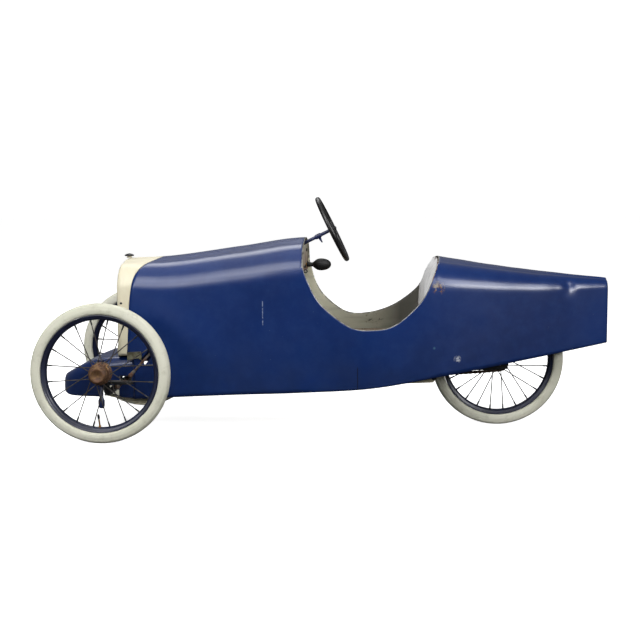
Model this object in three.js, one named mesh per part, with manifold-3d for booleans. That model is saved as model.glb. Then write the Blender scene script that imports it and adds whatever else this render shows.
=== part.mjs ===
// A child's three-wheeled pedal car of the 1920s cyclecar kind: two steered wheels in front, one
// chain-driven wheel behind, a sheet-steel body on two channel rails, and a pedal crank in the foot well.
// Millimetres, +Z up, nose towards -X, the driver's left is -Y. The origin is on the ground below the
// middle of the whole length.
import * as THREE from "three";
import { mergeVertices } from "three/addons/utils/BufferGeometryUtils.js";
import Module from "manifold-3d";

const wasm = await Module();
wasm.setup();

// Driving dimensions
const WHEEL_RADIUS = 180;
const WHEELBASE = 1035;
const TRACK = 567;
const FRONT_AXLE_X = -574.5;
const REAR_AXLE_X = FRONT_AXLE_X + WHEELBASE;
const TAIL_X = 754.5;
const AXLE_Z = WHEEL_RADIUS;
const WHEEL_Y = TRACK / 2;
const TYRE_HALF_WIDTH = 17;
const RIM_RADIUS = 151;
const SHEET = 2;
const GAP = 0.4;

// Body outline: x, half width, bottom edge, ridge height, height of the rounded shoulder
const BODY_STATIONS = [
  [-558, 150, 90, 461, 74],
  [-430, 163, 98, 468, 88],
  [-240, 182, 109, 494, 96],
  [-63, 196, 117, 517, 100],
  [120, 199, 129, 500, 95],
  [300, 179, 158, 464, 78],
  [530, 110, 194, 429, 56],
  [754.5, 30, 230, 405, 28],
];
const RIDGE_CROWN = 0.12; // part of the shoulder height that the top still rises to the ridge
const HOOD_END_X = -63;
const NOSE_REAR_X = -515;
const NOSE_TOP_Z = 208;
const NOSE_EDGE = 26;
// Seam between radiator shell and hood, and the cockpit rim on each side, all as x, z
const RADIATOR_SEAM = [
  [-533, 200], [-529, 260], [-525, 333], [-518, 390], [-508, 425], [-490, 448], [-462, 463], [-440, 474],
];
const RIM_LEFT = [
  [-63, 446], [-51, 413], [-17, 351], [57, 292], [117, 282], [176, 294], [235, 343], [265, 389], [290, 452],
];
const RIM_RIGHT = [
  [-63, 446], [-47, 386], [-17, 339], [43, 295], [107, 292], [177, 314], [237, 356], [262, 389], [290, 452],
];
const DECK_START_X = 303;

// Nose fairing: x, half width, bottom edge, top
const NOSE_STATIONS = [
  [-735, 20, 112, 134],
  [-726, 58, 101, 144],
  [-704, 96, 95, 156],
  [-664, 126, 96, 178],
  [-612, 143, 97, 197],
  [NOSE_REAR_X, 152, 94, NOSE_TOP_Z],
];

// Chassis
const RAIL_Y = 132;
const RAIL_HEIGHT = 24;
const RAIL_FRONT_X = -490;
const RAIL_REAR_X = 290;
const RAIL_FRONT_Z = 108;
const RAIL_RISE = 28;
const RAIL_THICKNESS = 10;
const STAY_Y = 53;
const SPRING_Y = 108;
const SPRING_MOUNT_X = -472;
const SPRING_TIP_X = -600;
const LEAF = 5;
const LEAF_TOP_Z = 86;

// Steering
const KINGPIN_X = FRONT_AXLE_X - 8;
const KINGPIN_Y = 243;
const STEERING_WHEEL = { x: 9, z: 538, radius: 98, rim: 7.5 };
const COLUMN_ANGLE = THREE.MathUtils.degToRad(26);
const COLUMN_FOOT_X = -437;
const COLUMN_RADIUS = 5;
const DROP_ARM = 41;
const TRACK_ROD_X = KINGPIN_X + 42.5;
const DRAG_BALL_X = KINGPIN_X + 77;
const STEERING_ARM_Z = 150;

// Drive
const CRANK_X = -300;
const CRANK_Z = 188;
const CRANK_ARM = 64;
const CHAIN_PITCH = 12.7;
const CHAINRING_TEETH = 20;
const SPROCKET_TEETH = 12;
const CHAIN_Y = -45;
const CHAIN_SAG = 14;

// Seat, its back as x, z up the front face
const SEAT_TOP_Z = 246;
const SEAT_FRONT_X = 17;
const SEAT_BACK = [[248, 250], [252, 314], [254, 354], [259, 395], [271, 430], [289, 455], [299, 465]];

// Horn through the right half of the dash
const HORN_Y = 70;
const HORN_Z = 438;

const pitchRadius = (teeth) => CHAIN_PITCH / (2 * Math.sin(Math.PI / teeth));
const railBottom = (x) => RAIL_FRONT_Z + (RAIL_RISE * (x - RAIL_FRONT_X)) / (RAIL_REAR_X - RAIL_FRONT_X);
const railTop = (x) => railBottom(x) + RAIL_HEIGHT;
const columnZ = (x) => STEERING_WHEEL.z - (STEERING_WHEEL.x - x) * Math.tan(COLUMN_ANGLE);

const finish = (color, roughness, metalness) => () =>
  new THREE.MeshStandardMaterial({ color, roughness, metalness });
const blue = finish(0x24448a, 0.42, 0.1);
const cream = finish(0xe4dfc4, 0.5, 0.0);
const tyreRubber = finish(0xcdccb8, 0.85, 0.0);
const steel = finish(0x8a8880, 0.4, 1.0);
const bronze = finish(0x6b5236, 0.5, 0.9);
const brass = finish(0xa98445, 0.4, 1.0);
const blackPaint = finish(0x17181a, 0.45, 0.2);
const blackRubber = finish(0x1b1b1c, 0.7, 0.0);
const bareSheet = finish(0xb9bbbd, 0.45, 0.7);
const wood = finish(0x8a6238, 0.65, 0.0);
const mesh = finish(0x3a3d40, 0.6, 0.7);

const car = new THREE.Group();

// ---- geometry helpers ----

// A closed geometry as a solid that can be joined and cut.
function solid(geometry) {
  const bare = geometry.clone();
  bare.deleteAttribute("normal");
  bare.deleteAttribute("uv");
  const merged = mergeVertices(bare, 1e-3);
  return new wasm.Manifold(
    new wasm.Mesh({
      numProp: 3,
      vertProperties: new Float32Array(merged.attributes.position.array),
      triVerts: new Uint32Array(merged.index.array),
    }),
  );
}

// A solid, or several separate ones, as one geometry.
function geometryOf(...solids) {
  const whole = solids.reduce((a, b) => a.add(b));
  const { vertProperties, triVerts } = whole.getMesh();
  const geometry = new THREE.BufferGeometry();
  geometry.setAttribute("position", new THREE.BufferAttribute(new Float32Array(vertProperties), 3));
  geometry.setIndex(new THREE.BufferAttribute(new Uint32Array(triVerts), 1));
  geometry.computeVertexNormals();
  return geometry;
}

function add(name, solids, material, parent = car) {
  const piece = new THREE.Mesh(geometryOf(...[solids].flat()), material());
  piece.name = name;
  parent.add(piece);
  return piece;
}

function box(x, y, z, sx, sy, sz) {
  return solid(new THREE.BoxGeometry(sx, sy, sz).translate(x, y, z));
}

// A round bar between two points.
function rod(from, to, radius, sides = 12) {
  const a = new THREE.Vector3(...from);
  const b = new THREE.Vector3(...to);
  const along = b.clone().sub(a);
  const geometry = new THREE.CylinderGeometry(radius, radius, along.length(), sides);
  const up = new THREE.Vector3(0, 1, 0);
  const turn = new THREE.Quaternion().setFromUnitVectors(up, along.clone().normalize());
  return solid(geometry.applyQuaternion(turn).translate(...a.add(b).multiplyScalar(0.5).toArray()));
}

function ball(x, y, z, radius) {
  return solid(new THREE.SphereGeometry(radius, 12, 8).translate(x, y, z));
}

// A turned solid about the Y axis from [radius, y] points, with a flat of its many sides facing the ground.
function turned(points, sides) {
  const profile = points.map(([r, y]) => new THREE.Vector2(r, y));
  const made = solid(new THREE.LatheGeometry(profile, sides, Math.PI / sides));
  return made.volume() > 0 ? made : turned(points.toReversed(), sides);
}

// A turned solid whose axis stands upright.
const turnedUpright = (points, sides) => turned(points, sides).rotate([90, 0, 0]);

const moved = (shape, x, y, z) => shape.translate([x, y, z]);
const mirrored = (shape, side) => (side < 0 ? shape : shape.mirror([0, 1, 0]));

// An outline in x and z, pushed along Y between two values.
function sideways(outline, y0, y1) {
  const drawn = outline instanceof THREE.Shape;
  const shape = drawn ? outline : new THREE.Shape(outline.map(([x, z]) => new THREE.Vector2(x, z)));
  const options = { depth: y1 - y0, bevelEnabled: false, curveSegments: 10 };
  const geometry = new THREE.ExtrudeGeometry(shape, options);
  return solid(geometry.rotateX(Math.PI / 2).translate(0, y1, 0));
}

// An outline in y and z, pushed along X between two values.
function lengthways(outline, x0, x1) {
  const shape = new THREE.Shape(outline.map(([y, z]) => new THREE.Vector2(y, z)));
  const geometry = new THREE.ExtrudeGeometry(shape, { depth: x1 - x0, bevelEnabled: false });
  return solid(geometry.rotateX(Math.PI / 2).rotateZ(Math.PI / 2).translate(x0, 0, 0));
}

// A skin through closed rings of equal length, each a list of [x, y, z], with flat ends.
function loft(rings) {
  const count = rings[0].length;
  const positions = rings.flat(2);
  const faces = [];
  for (let i = 0; i + 1 < rings.length; i++)
    for (let j = 0; j < count; j++) {
      const k = (j + 1) % count;
      const [a, b, c, d] = [i * count + j, i * count + k, (i + 1) * count + k, (i + 1) * count + j];
      faces.push(a, c, b, a, d, c);
    }
  const flat = (ring) => ring.map(([, y, z]) => new THREE.Vector2(y, z));
  const end = (ring) => THREE.ShapeUtils.triangulateShape(flat(ring), []);
  const last = (rings.length - 1) * count;
  for (const [a, b, c] of end(rings[0])) faces.push(a, b, c);
  for (const [a, b, c] of end(rings.at(-1))) faces.push(last + a, last + c, last + b);
  const geometry = new THREE.BufferGeometry();
  geometry.setAttribute("position", new THREE.Float32BufferAttribute(positions, 3));
  geometry.setIndex(faces);
  const made = solid(geometry);
  if (made.volume() > 0) return made;
  geometry.setIndex(faces.toReversed());
  return solid(geometry);
}

// Stations read at any x along a smooth curve.
function smoothStation(stations, x) {
  const last = stations.length - 1;
  let i = stations.findIndex((s) => s[0] > x) - 1;
  if (x <= stations[0][0]) i = 0;
  else if (i < 0) i = last - 1;
  const [a, b] = [stations[i], stations[i + 1]];
  const [before, after] = [stations[Math.max(i - 1, 0)], stations[Math.min(i + 2, last)]];
  const span = b[0] - a[0];
  const t = THREE.MathUtils.clamp((x - a[0]) / span, 0, 1);
  return a.map((value, k) => {
    const slopeA = ((b[k] - before[k]) / (b[0] - before[0])) * span;
    const slopeB = ((after[k] - value) / (after[0] - a[0])) * span;
    const rise = 3 * t ** 2 - 2 * t ** 3;
    const [leaving, arriving] = [t ** 3 - 2 * t ** 2 + t, t ** 3 - t ** 2];
    return (1 - rise) * value + leaving * slopeA + rise * b[k] + arriving * slopeB;
  });
}

// One closed section of the body, set in by inset all round and let down past the bottom edge by drop.
function bodySection(x, inset = 0, drop = 0) {
  const [, halfWidth, bottom, ridge, shoulder] = smoothStation(BODY_STATIONS, x);
  const width = halfWidth - inset;
  const top = ridge - inset;
  const crown = shoulder * RIDGE_CROWN;
  const reach = Math.min(shoulder, halfWidth * 0.9);
  const right = [[width, bottom - drop], [width, top - shoulder]];
  for (const turn of [25, 50, 70, 90]) {
    const angle = THREE.MathUtils.degToRad(turn);
    const rise = (shoulder - crown) * Math.sin(angle);
    right.push([width - reach * (1 - Math.cos(angle)), top - shoulder + rise]);
  }
  right.push([(width - reach) / 2, top - crown / 4]);
  const left = right.map(([y, z]) => [-y, z]).reverse();
  return [...right, [0, top], ...left].map(([y, z]) => [x, y, z]);
}

function bodyLoft(from, to, inset, drop) {
  const steps = Math.ceil((to - from) / 105);
  const rings = [];
  for (let i = 0; i <= steps; i++) rings.push(bodySection(from + ((to - from) * i) / steps, inset, drop));
  return loft(rings);
}

function noseSection([x, width, bottom, top], inset = 0, drop = 0) {
  const edge = Math.min(NOSE_EDGE, width * 0.6, (top - bottom) * 0.6);
  const [w, high] = [width - inset, top - inset];
  const right = [[w, bottom - drop], [w, high - edge], [w - edge * 0.3, high - edge * 0.3], [w - edge, high]];
  return [...right, ...right.map(([y, z]) => [-y, z]).reverse()].map(([y, z]) => [x, y, z]);
}

// The part of the side view ahead of a seam, as an outline.
function aheadOf(seam, front, low, high) {
  const curve = new THREE.SplineCurve(seam.map(([x, z]) => new THREE.Vector2(x, z)));
  const shape = new THREE.Shape([new THREE.Vector2(front, low)]);
  for (const point of curve.getPoints(14)) shape.lineTo(point.x, point.y);
  shape.lineTo(seam.at(-1)[0], high);
  shape.lineTo(front, high);
  return shape;
}

// The cockpit opening on one side, from its rim up.
function cockpitCut(rim, y0, y1) {
  const high = 600;
  const curve = new THREE.SplineCurve(rim.map(([x, z]) => new THREE.Vector2(x, z)));
  const shape = new THREE.Shape([new THREE.Vector2(HOOD_END_X, high)]);
  for (const point of curve.getPoints(22)) shape.lineTo(point.x, point.y);
  shape.lineTo(DECK_START_X, 474);
  shape.lineTo(DECK_START_X, high);
  return sideways(shape, y0, y1);
}

// ---- body ----

const outerBody = bodyLoft(-558, TAIL_X, 0, 0);
const innerBody = bodyLoft(-590, TAIL_X - SHEET, SHEET, 30);
const lowerFront = box(-600, 0, NOSE_TOP_Z / 2, 2 * (NOSE_REAR_X + 600), 400, NOSE_TOP_Z + 2 * GAP);
const radiatorRegion = sideways(aheadOf(RADIATOR_SEAM, -620, NOSE_TOP_Z - 60, 560), -260, 260);

function bodyShell() {
  const dragLinkSlot = box(0, 0, 0, 54, 60, 16).rotate([0, -53, 0]).translate([-474.5, -160, 210.5]);
  return outerBody
    .subtract(innerBody)
    .subtract(radiatorRegion)
    .subtract(lowerFront)
    .subtract(cockpitCut(RIM_LEFT, -260, 0))
    .subtract(cockpitCut(RIM_RIGHT, 0, 260))
    .subtract(dragLinkSlot);
}

function radiatorShell() {
  const [, width, , ridge, shoulder] = BODY_STATIONS[0];
  const hollow = bodyLoft(-555, -400, SHEET, 30);
  const behindSeam = radiatorRegion.translate([-GAP, 0, 0]);
  const mouth = lengthways(mouthOutline(width - 26, NOSE_TOP_Z + 26, ridge - 30, shoulder * 0.7), -570, -540);
  return outerBody
    .intersect(behindSeam)
    .subtract(hollow)
    .subtract(mouth)
    .subtract(lowerFront)
    .subtract(box(-560, 0, 50, 200, 500, 2 * (NOSE_TOP_Z + GAP - 50)));
}

// Upright opening with a rounded top, as y, z.
function mouthOutline(width, low, high, corner) {
  const points = [[-width, low], [width, low], [width, high - corner]];
  for (const turn of [30, 60, 90]) {
    const angle = THREE.MathUtils.degToRad(turn);
    points.push([width - corner * (1 - Math.cos(angle)), high - corner * (1 - Math.sin(angle))]);
  }
  const top = points.slice(2).map(([y, z]) => [-y, z]).reverse();
  return [...points, ...top];
}

function radiatorGrille() {
  const slats = [];
  const [, width, , ridge, shoulder] = BODY_STATIONS[0];
  const outline = mouthOutline(width - 14, NOSE_TOP_Z + 12, ridge - 20, shoulder * 0.8);
  const plate = lengthways(outline, -554.5, -552.5);
  for (let i = -5; i <= 5; i++) slats.push(box(-556.2, i * 20, 325, 3.6, 3, 170));
  return slats.reduce((whole, slat) => whole.add(slat), plate);
}

function radiatorCap() {
  const profile = [[0, 0], [7, 0], [7, 4], [13, 5], [13, 9], [5, 12], [0, 12]];
  return moved(turnedUpright(profile, 16), -552, 0, BODY_STATIONS[0][3] + 0.6);
}

function noseCowl() {
  const outer = loft(NOSE_STATIONS.map((s) => noseSection(s)));
  const hollow = loft(NOSE_STATIONS.map(([x, w, low, top], i) =>
    noseSection([i === 0 ? x + SHEET : x + (i === 5 ? 5 : 1), w, low, top], SHEET, 60)));
  const axleNotch = box(KINGPIN_X, 0, 90, 52, 400, 76);
  const trackRodSlot = box(TRACK_ROD_X, 0, STEERING_ARM_Z - 6, 26, 400, 18);
  return outer.subtract(hollow).subtract(axleNotch).subtract(trackRodSlot);
}

function dashboard() {
  const x0 = HOOD_END_X - 9;
  const rings = [x0, x0 + 4].map((x) => bodySection(x, 2 * SHEET));
  const below = box(x0, 0, 200, 30, 500, 2 * (424 - 200));
  const columnHole = rod([x0 - 10, 0, columnZ(x0 - 10)], [x0 + 14, 0, columnZ(x0 + 14)], 8);
  const hornHole = rod([x0 - 10, HORN_Y, HORN_Z], [x0 + 20, HORN_Y, HORN_Z], 6.5);
  return loft(rings).subtract(below).subtract(columnHole).subtract(hornHole);
}

function hornBulb() {
  const profile = [
    [0, 0], [6, 0], [7, 6], [6, 17], [12, 24], [16.4, 34], [17, 43], [14.5, 55], [8, 65], [0, 68],
  ];
  return moved(turned(profile, 16).rotate([0, 0, -90]), HOOD_END_X - 2, HORN_Y, HORN_Z);
}

function hornTrumpet() {
  const profile = [
    [0, 0], [5.5, 0], [5.5, 30], [9, 60], [16, 90], [30, 112], [28, 112], [14, 90], [7, 60], [0, 45],
  ];
  return moved(turned(profile, 16).rotate([0, 0, 90]), HOOD_END_X - 2.6, HORN_Y, HORN_Z);
}

function seatBack() {
  const outline = [...SEAT_BACK, ...SEAT_BACK.map(([x, z]) => [x + 2.4, z]).reverse()];
  return sideways(outline, -190, 190).intersect(bodyLoft(180, 320, SHEET + 1.2, 0));
}

function seatBoard() {
  const rearX = SEAT_BACK[0][0] - 3;
  return box((SEAT_FRONT_X + rearX) / 2, 0, SEAT_TOP_Z - 5, rearX - SEAT_FRONT_X, 356, 10);
}

// ---- chassis ----

// A channel rail, open towards the car's middle, its rear lower corner cut off.
function rail(side) {
  const [a, b] = [RAIL_FRONT_X, RAIL_REAR_X];
  const cut = 12;
  const outline = [
    [a, railBottom(a)], [b - cut, railBottom(b)], [b, railBottom(b) + cut], [b, railTop(b)], [a, railTop(a)],
  ];
  const bar = sideways(outline, -RAIL_THICKNESS / 2, RAIL_THICKNESS / 2);
  const tilt = THREE.MathUtils.radToDeg(Math.atan2(RAIL_RISE, b - a));
  const hollow = box(0, 3.5, 0, b - a - 40, 7, RAIL_HEIGHT - 6).rotate([0, -tilt, 0]);
  const middle = [(a + b) / 2, 0, (railBottom(a) + railTop(b)) / 2];
  return mirrored(moved(bar.subtract(moved(hollow, ...middle)), 0, -RAIL_Y, 0), side);
}

// A flat strip across the tops of both rails.
const crossMember = (x) => box(x, 0, railTop(x) + 2.9, 30, 2 * RAIL_Y + RAIL_THICKNESS, 4);

// A strap that stands on both rails and carries the seat board.
function seatSupport(x) {
  const foot = railTop(x) + 0.8;
  const top = SEAT_TOP_Z - 10 - GAP;
  const outline = [[-RAIL_Y - 5, foot], [-RAIL_Y + 3, foot], [-RAIL_Y + 3, top - 5], [RAIL_Y - 3, top - 5],
    [RAIL_Y - 3, foot], [RAIL_Y + 5, foot], [RAIL_Y + 5, top], [-RAIL_Y - 5, top]];
  return lengthways(outline, x - 10, x + 10);
}

function frontAxle() {
  const low = 112;
  const half = [[-230, AXLE_Z], [-208, AXLE_Z], [-182, 130], [-160, low], [-60, low]];
  const points = [...half, ...half.map(([y, z]) => [-y, z]).reverse()];
  const bends = points.map(([y, z]) => new THREE.Vector3(KINGPIN_X, y, z));
  const path = new THREE.CatmullRomCurve3(bends, false, "catmullrom", 0.3);
  const section = new THREE.Shape();
  section.absarc(0, 0, 9, 0, 2 * Math.PI);
  const options = { steps: 16, extrudePath: path, bevelEnabled: false, curveSegments: 2 };
  const tube = solid(new THREE.ExtrudeGeometry(section, options));
  const upright = (side, low, high, radius) =>
    rod([KINGPIN_X, side * KINGPIN_Y, low], [KINGPIN_X, side * KINGPIN_Y, high], radius);
  const eyes = [-1, 1].map((side) => upright(side, 162, 192, 13));
  const bores = [-1, 1].map((side) => upright(side, 150, 210, 6));
  return tube.add(eyes[0]).add(eyes[1]).subtract(bores[0]).subtract(bores[1]);
}

function kingPin(side) {
  const profile = [
    [0, 83], [7, 86], [8.5, 92], [8.5, 104], [5.4, 110], [5.4, 205.6], [9, 206], [9, 210], [0, 211.5],
  ];
  return moved(turnedUpright(profile, 12), KINGPIN_X, side * KINGPIN_Y, 0);
}

// Quarter-elliptic spring: three leaves clamped below the rail's front end, the tip under the axle.
function leafSpring(side) {
  const [clamped, tip] = [-490, SPRING_TIP_X];
  const rear = SPRING_MOUNT_X + 20;
  const top = (x) => LEAF_TOP_Z + 15 * (Math.max(0, clamped - x) / (clamped - tip)) ** 2;
  const upper = [rear, clamped, -520, -545, -572, tip].map((x) => [x, top(x)]);
  const under = (x, leaves) => [x, top(x) - leaves * LEAF];
  const lower = [
    under(tip, 1), under(-562, 1), under(-560, 2), under(-523, 2), under(-521, 3), under(rear, 3),
  ];
  return mirrored(sideways([...upper, ...lower], -SPRING_Y - 11, -SPRING_Y + 11), side);
}

// Front cross member with the two blocks that hold the springs between themselves and their keepers.
function springMount() {
  const x = SPRING_MOUNT_X;
  const holders = [-1, 1].flatMap((side) => {
    const y = side * SPRING_Y;
    const block = box(x, y, LEAF_TOP_Z + 27, 34, 26, 53);
    const keeper = box(x, y, LEAF_TOP_Z - 3 * LEAF - 2.8, 34, 34, 4.8);
    const bolts = [-14, 14].map((dy) => box(x, y + dy, 100, 26, 5, 66));
    return [block, keeper, ...bolts];
  });
  return holders.reduce((whole, piece) => whole.add(piece), crossMember(x));
}

// Folded gusset on the side of the body above the axle.
function bodyBracket(side) {
  const outline = [[-531, 219], [-494, 221], [-492, 196], [-500, 203], [-530, 196]];
  const plate = sideways(outline, -161.5, -158.5);
  const foot = box(-512, -157.3, 212, 14, 3, 8);
  return mirrored(plate.add(foot), side);
}

// Flat stay from the rear cross member back past the wheel, slotted for the axle.
function rearStay(side) {
  const outline = [
    [245, 165], [290, 165], [300, 150], [396, 157], [483, 160.5], [483, 193], [440, 200], [245, 184],
  ];
  const plate = sideways(outline, -2, 2);
  const slot = rod([REAR_AXLE_X, -9, AXLE_Z], [REAR_AXLE_X, 9, AXLE_Z], 5.6);
  return plate.subtract(slot).translate([0, side * (STAY_Y + 2), 0]);
}

function rearAxle() {
  const pin = rod([REAR_AXLE_X, -70, AXLE_Z], [REAR_AXLE_X, 70, AXLE_Z], 5);
  const nut = (side) => rod([REAR_AXLE_X, side * 57.5, AXLE_Z], [REAR_AXLE_X, side * 65, AXLE_Z], 9, 6);
  return pin.add(nut(-1)).add(nut(1));
}

// ---- steering ----

// Turns a shape made along +X at the origin onto the column, with its start at the given x.
const onColumn = (shape, x) =>
  shape.rotate([0, -THREE.MathUtils.radToDeg(COLUMN_ANGLE), 0]).translate([x, 0, columnZ(x)]);
const columnPoint = (x) => [x, 0, columnZ(x)];

function steeringColumn() {
  const bar = rod(columnPoint(COLUMN_FOOT_X), columnPoint(STEERING_WHEEL.x - 0.5), COLUMN_RADIUS).add(columnCollar());
  const [x, , z] = columnPoint(COLUMN_FOOT_X);
  const armEnd = [x + DROP_ARM * Math.sin(COLUMN_ANGLE), 0, z - DROP_ARM * Math.cos(COLUMN_ANGLE)];
  return { bar, armEnd };
}

function dropArm(end) {
  const start = columnPoint(COLUMN_FOOT_X + 3);
  const arm = rod(start, end, 5, 8).add(ball(...end, 6.5));
  const boss = rod(columnPoint(COLUMN_FOOT_X - 6), columnPoint(COLUMN_FOOT_X + 10), 10);
  const bore = rod(columnPoint(COLUMN_FOOT_X - 1), columnPoint(COLUMN_FOOT_X + 40), COLUMN_RADIUS + GAP);
  return arm.add(boss).subtract(bore);
}

function steeringWheel() {
  const { radius, rim } = STEERING_WHEEL;
  const ring = solid(new THREE.TorusGeometry(radius - rim, rim, 6, 20).rotateY(Math.PI / 2));
  const boss = solid(new THREE.CylinderGeometry(17, 20, 12, 16).rotateZ(-Math.PI / 2));
  const spokes = [0, 90, 180, 270].map((turn) =>
    box(0, 0, (radius - rim) / 2, 4, 15, radius - rim - 2).rotate([turn + 45, 0, 0]));
  const whole = spokes.reduce((a, b) => a.add(b), ring.add(boss));
  const bore = rod([-58, 0, 0], [2, 0, 0], COLUMN_RADIUS + GAP);
  return onColumn(whole.subtract(bore), STEERING_WHEEL.x);
}

// Sleeve with a small wing, welded on the column between dash and wheel.
function columnCollar() {
  const sleeve = rod(columnPoint(-37), columnPoint(-23), 8.5);
  const [x, , z] = columnPoint(-27);
  const outline = [[x - 4, z - 5], [x + 4, z - 5], [x + 9, z - 18], [x + 6, z - 19], [x - 3, z - 9]];
  const wing = sideways(outline, -1.5, 1.5);
  return sleeve.add(wing);
}

function columnBracket() {
  const x = -406;
  const eye = columnZ(x);
  const foot = railTop(x) + 0.8;
  const lower = [
    [0, eye - 32], [12, eye - 30], [RAIL_Y - 9, foot + 14], [RAIL_Y - 5, foot], [RAIL_Y + 5, foot],
  ];
  const right = [...lower, [RAIL_Y + 5, foot + 14], [17, eye + 4], [10, eye + 14]];
  const left = right.slice(1).map(([y, z]) => [-y, z]).reverse();
  const plate = lengthways([...right, ...left], x - 2, x + 2);
  return plate.subtract(rod(columnPoint(x - 20), columnPoint(x + 20), COLUMN_RADIUS + GAP));
}

// Stub axle: a yoke above and below the axle eye, the wheel spindle, and the steering arm.
function stubAxle(side) {
  const y = -KINGPIN_Y;
  const earHeights = [152, 199];
  const ears = earHeights.map((z) => rod([KINGPIN_X, y, z - 6], [KINGPIN_X, y, z + 6], 13));
  const cheek = box(KINGPIN_X + 6, y - 17, (earHeights[0] + earHeights[1]) / 2, 32, 5, 59);
  const webs = earHeights.map((z) => box(KINGPIN_X, y - 9, z, 20, 15, 12));
  const spindle = rod([FRONT_AXLE_X, y - 18, AXLE_Z], [FRONT_AXLE_X, -312, AXLE_Z], 6);
  const armReach = side < 0 ? DRAG_BALL_X : TRACK_ROD_X;
  const arm = box((KINGPIN_X + armReach) / 2 + 4, y, STEERING_ARM_Z, armReach - KINGPIN_X + 4, 12, 8);
  const ballPin = rod([DRAG_BALL_X, y, STEERING_ARM_Z], [DRAG_BALL_X, y, STEERING_ARM_Z + 12], 4, 8);
  const shared = [...ears, cheek, ...webs, spindle, arm].reduce((a, b) => a.add(b));
  const whole = side < 0 ? shared.add(ballPin) : shared;
  const bore = rod([KINGPIN_X, y, 100], [KINGPIN_X, y, 260], 6);
  return mirrored(whole.subtract(bore), side);
}

function trackRod() {
  const z = STEERING_ARM_Z - 9;
  const bar = rod([TRACK_ROD_X, -KINGPIN_Y, z], [TRACK_ROD_X, KINGPIN_Y, z], 4);
  const end = (y) => rod([TRACK_ROD_X, y, z - 4.4], [TRACK_ROD_X, y, z + 4.4], 7);
  return bar.add(end(-KINGPIN_Y)).add(end(KINGPIN_Y));
}

function dragLink(armEnd) {
  const near = [DRAG_BALL_X, -KINGPIN_Y, STEERING_ARM_Z + 19];
  const far = [armEnd[0], armEnd[1] - 13, armEnd[2]];
  return rod(near, far, 3.5, 8).add(ball(...near, 6.5));
}

// ---- wheels ----

const TYRE_SIDES = 24;
const flatOut = (radius) => radius / Math.cos(Math.PI / TYRE_SIDES);

function tyre() {
  const w = TYRE_HALF_WIDTH;
  const half = [[RIM_RADIUS + GAP, 13.6], [160, w - 0.3], [169, w - 1.6], [176.5, 10], [WHEEL_RADIUS, 4]];
  const profile = [...half, ...half.map(([r, y]) => [r, -y]).reverse(), half[0]];
  return turned(profile.map(([r, y]) => [flatOut(r), y]), TYRE_SIDES);
}

function rim() {
  const half = [[138, 5], [143, 11.5], [RIM_RADIUS, 14.5], [146, 9]];
  const profile = [...half, ...half.map(([r, y]) => [r, -y]).reverse(), half[0]];
  return turned(profile.map(([r, y]) => [flatOut(r), y]), TYRE_SIDES);
}

// Straight spokes laid in two crossing sets, one from each hub flange.
// A thin ring of nipples against the rim ties them into one piece.
function spokes(count, flangeY, flangeRadius) {
  const lean = THREE.MathUtils.degToRad(26);
  const wires = [];
  for (let i = 0; i < count; i++) {
    const side = i % 2 === 0 ? 1 : -1;
    const outer = ((i + 0.5) * 2 * Math.PI) / count;
    const inner = outer + side * lean;
    const at = (radius, angle, y) => [radius * Math.cos(angle), y, radius * Math.sin(angle)];
    wires.push(rod(at(flangeRadius, inner, side * flangeY), at(136, outer, side * 2), 1.2, 3));
  }
  const nipples = [[134.5, -3.5], [137.2, -3.5], [137.2, 3.5], [134.5, 3.5], [134.5, -3.5]];
  const valveHole = rod([-4, 0, -140], [-6, -5, -112], 3);
  return wires.reduce((whole, wire) => whole.add(wire), turned(nipples, TYRE_SIDES)).subtract(valveHole);
}

function valve() {
  const stem = rod([-4, 0, -137], [-6, -5, -112], 2.2, 8);
  return stem.add(rod([-5.6, -4.2, -116], [-6.6, -6.6, -104], 3.2, 8));
}

function frontHub() {
  const profile = [
    [8, 13], [27, 13], [27, 9], [18, 8], [18, -8], [27, -9],
    [27, -13], [24, -14], [24, -30], [8, -30], [8, 13],
  ];
  return turned(profile, 12);
}

function hubCap() {
  const profile = [[0, -41], [17, -41], [22, -38.5], [23, -35], [23, -30.5], [0, -30.5]];
  return turned(profile, 12);
}

function rearHub() {
  const profile = [
    [6.5, 49], [10, 49], [10, 27], [22, 26], [22, 22], [13, 21], [13, -21], [22, -22], [22, -26], [13, -27],
    [13, -43.1], [6.5, -43.1], [6.5, 49],
  ];
  return turned(profile, 12);
}

// A wheel's shared parts; turn is how far the valve, at the bottom in front, is carried round the axle.
function addWheel(prefix, x, y, { count, flangeY, flangeRadius, side, turn }) {
  const wheel = new THREE.Group();
  wheel.position.set(x, y, AXLE_Z);
  car.add(wheel);
  const facing = (shape) => (side > 0 ? shape.mirror([0, 1, 0]) : shape).rotate([0, turn, 0]);
  add(prefix + "_tyre", tyre(), tyreRubber, wheel);
  add(prefix + "_rim", rim(), blue, wheel);
  add(prefix + "_spokes", facing(spokes(count, flangeY, flangeRadius)), steel, wheel);
  add(prefix + "_valve", facing(valve()), brass, wheel);
  return { wheel, facing };
}

function addFrontWheel(prefix, side) {
  const options = { count: 20, flangeY: 11, flangeRadius: 28, side, turn: 0 };
  const { wheel, facing } = addWheel(prefix, FRONT_AXLE_X, side * WHEEL_Y, options);
  add(prefix + "_hub", facing(frontHub()), bronze, wheel);
  add(prefix + "_hub_cap", facing(hubCap()), bronze, wheel);
}

// ---- drive ----

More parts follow.
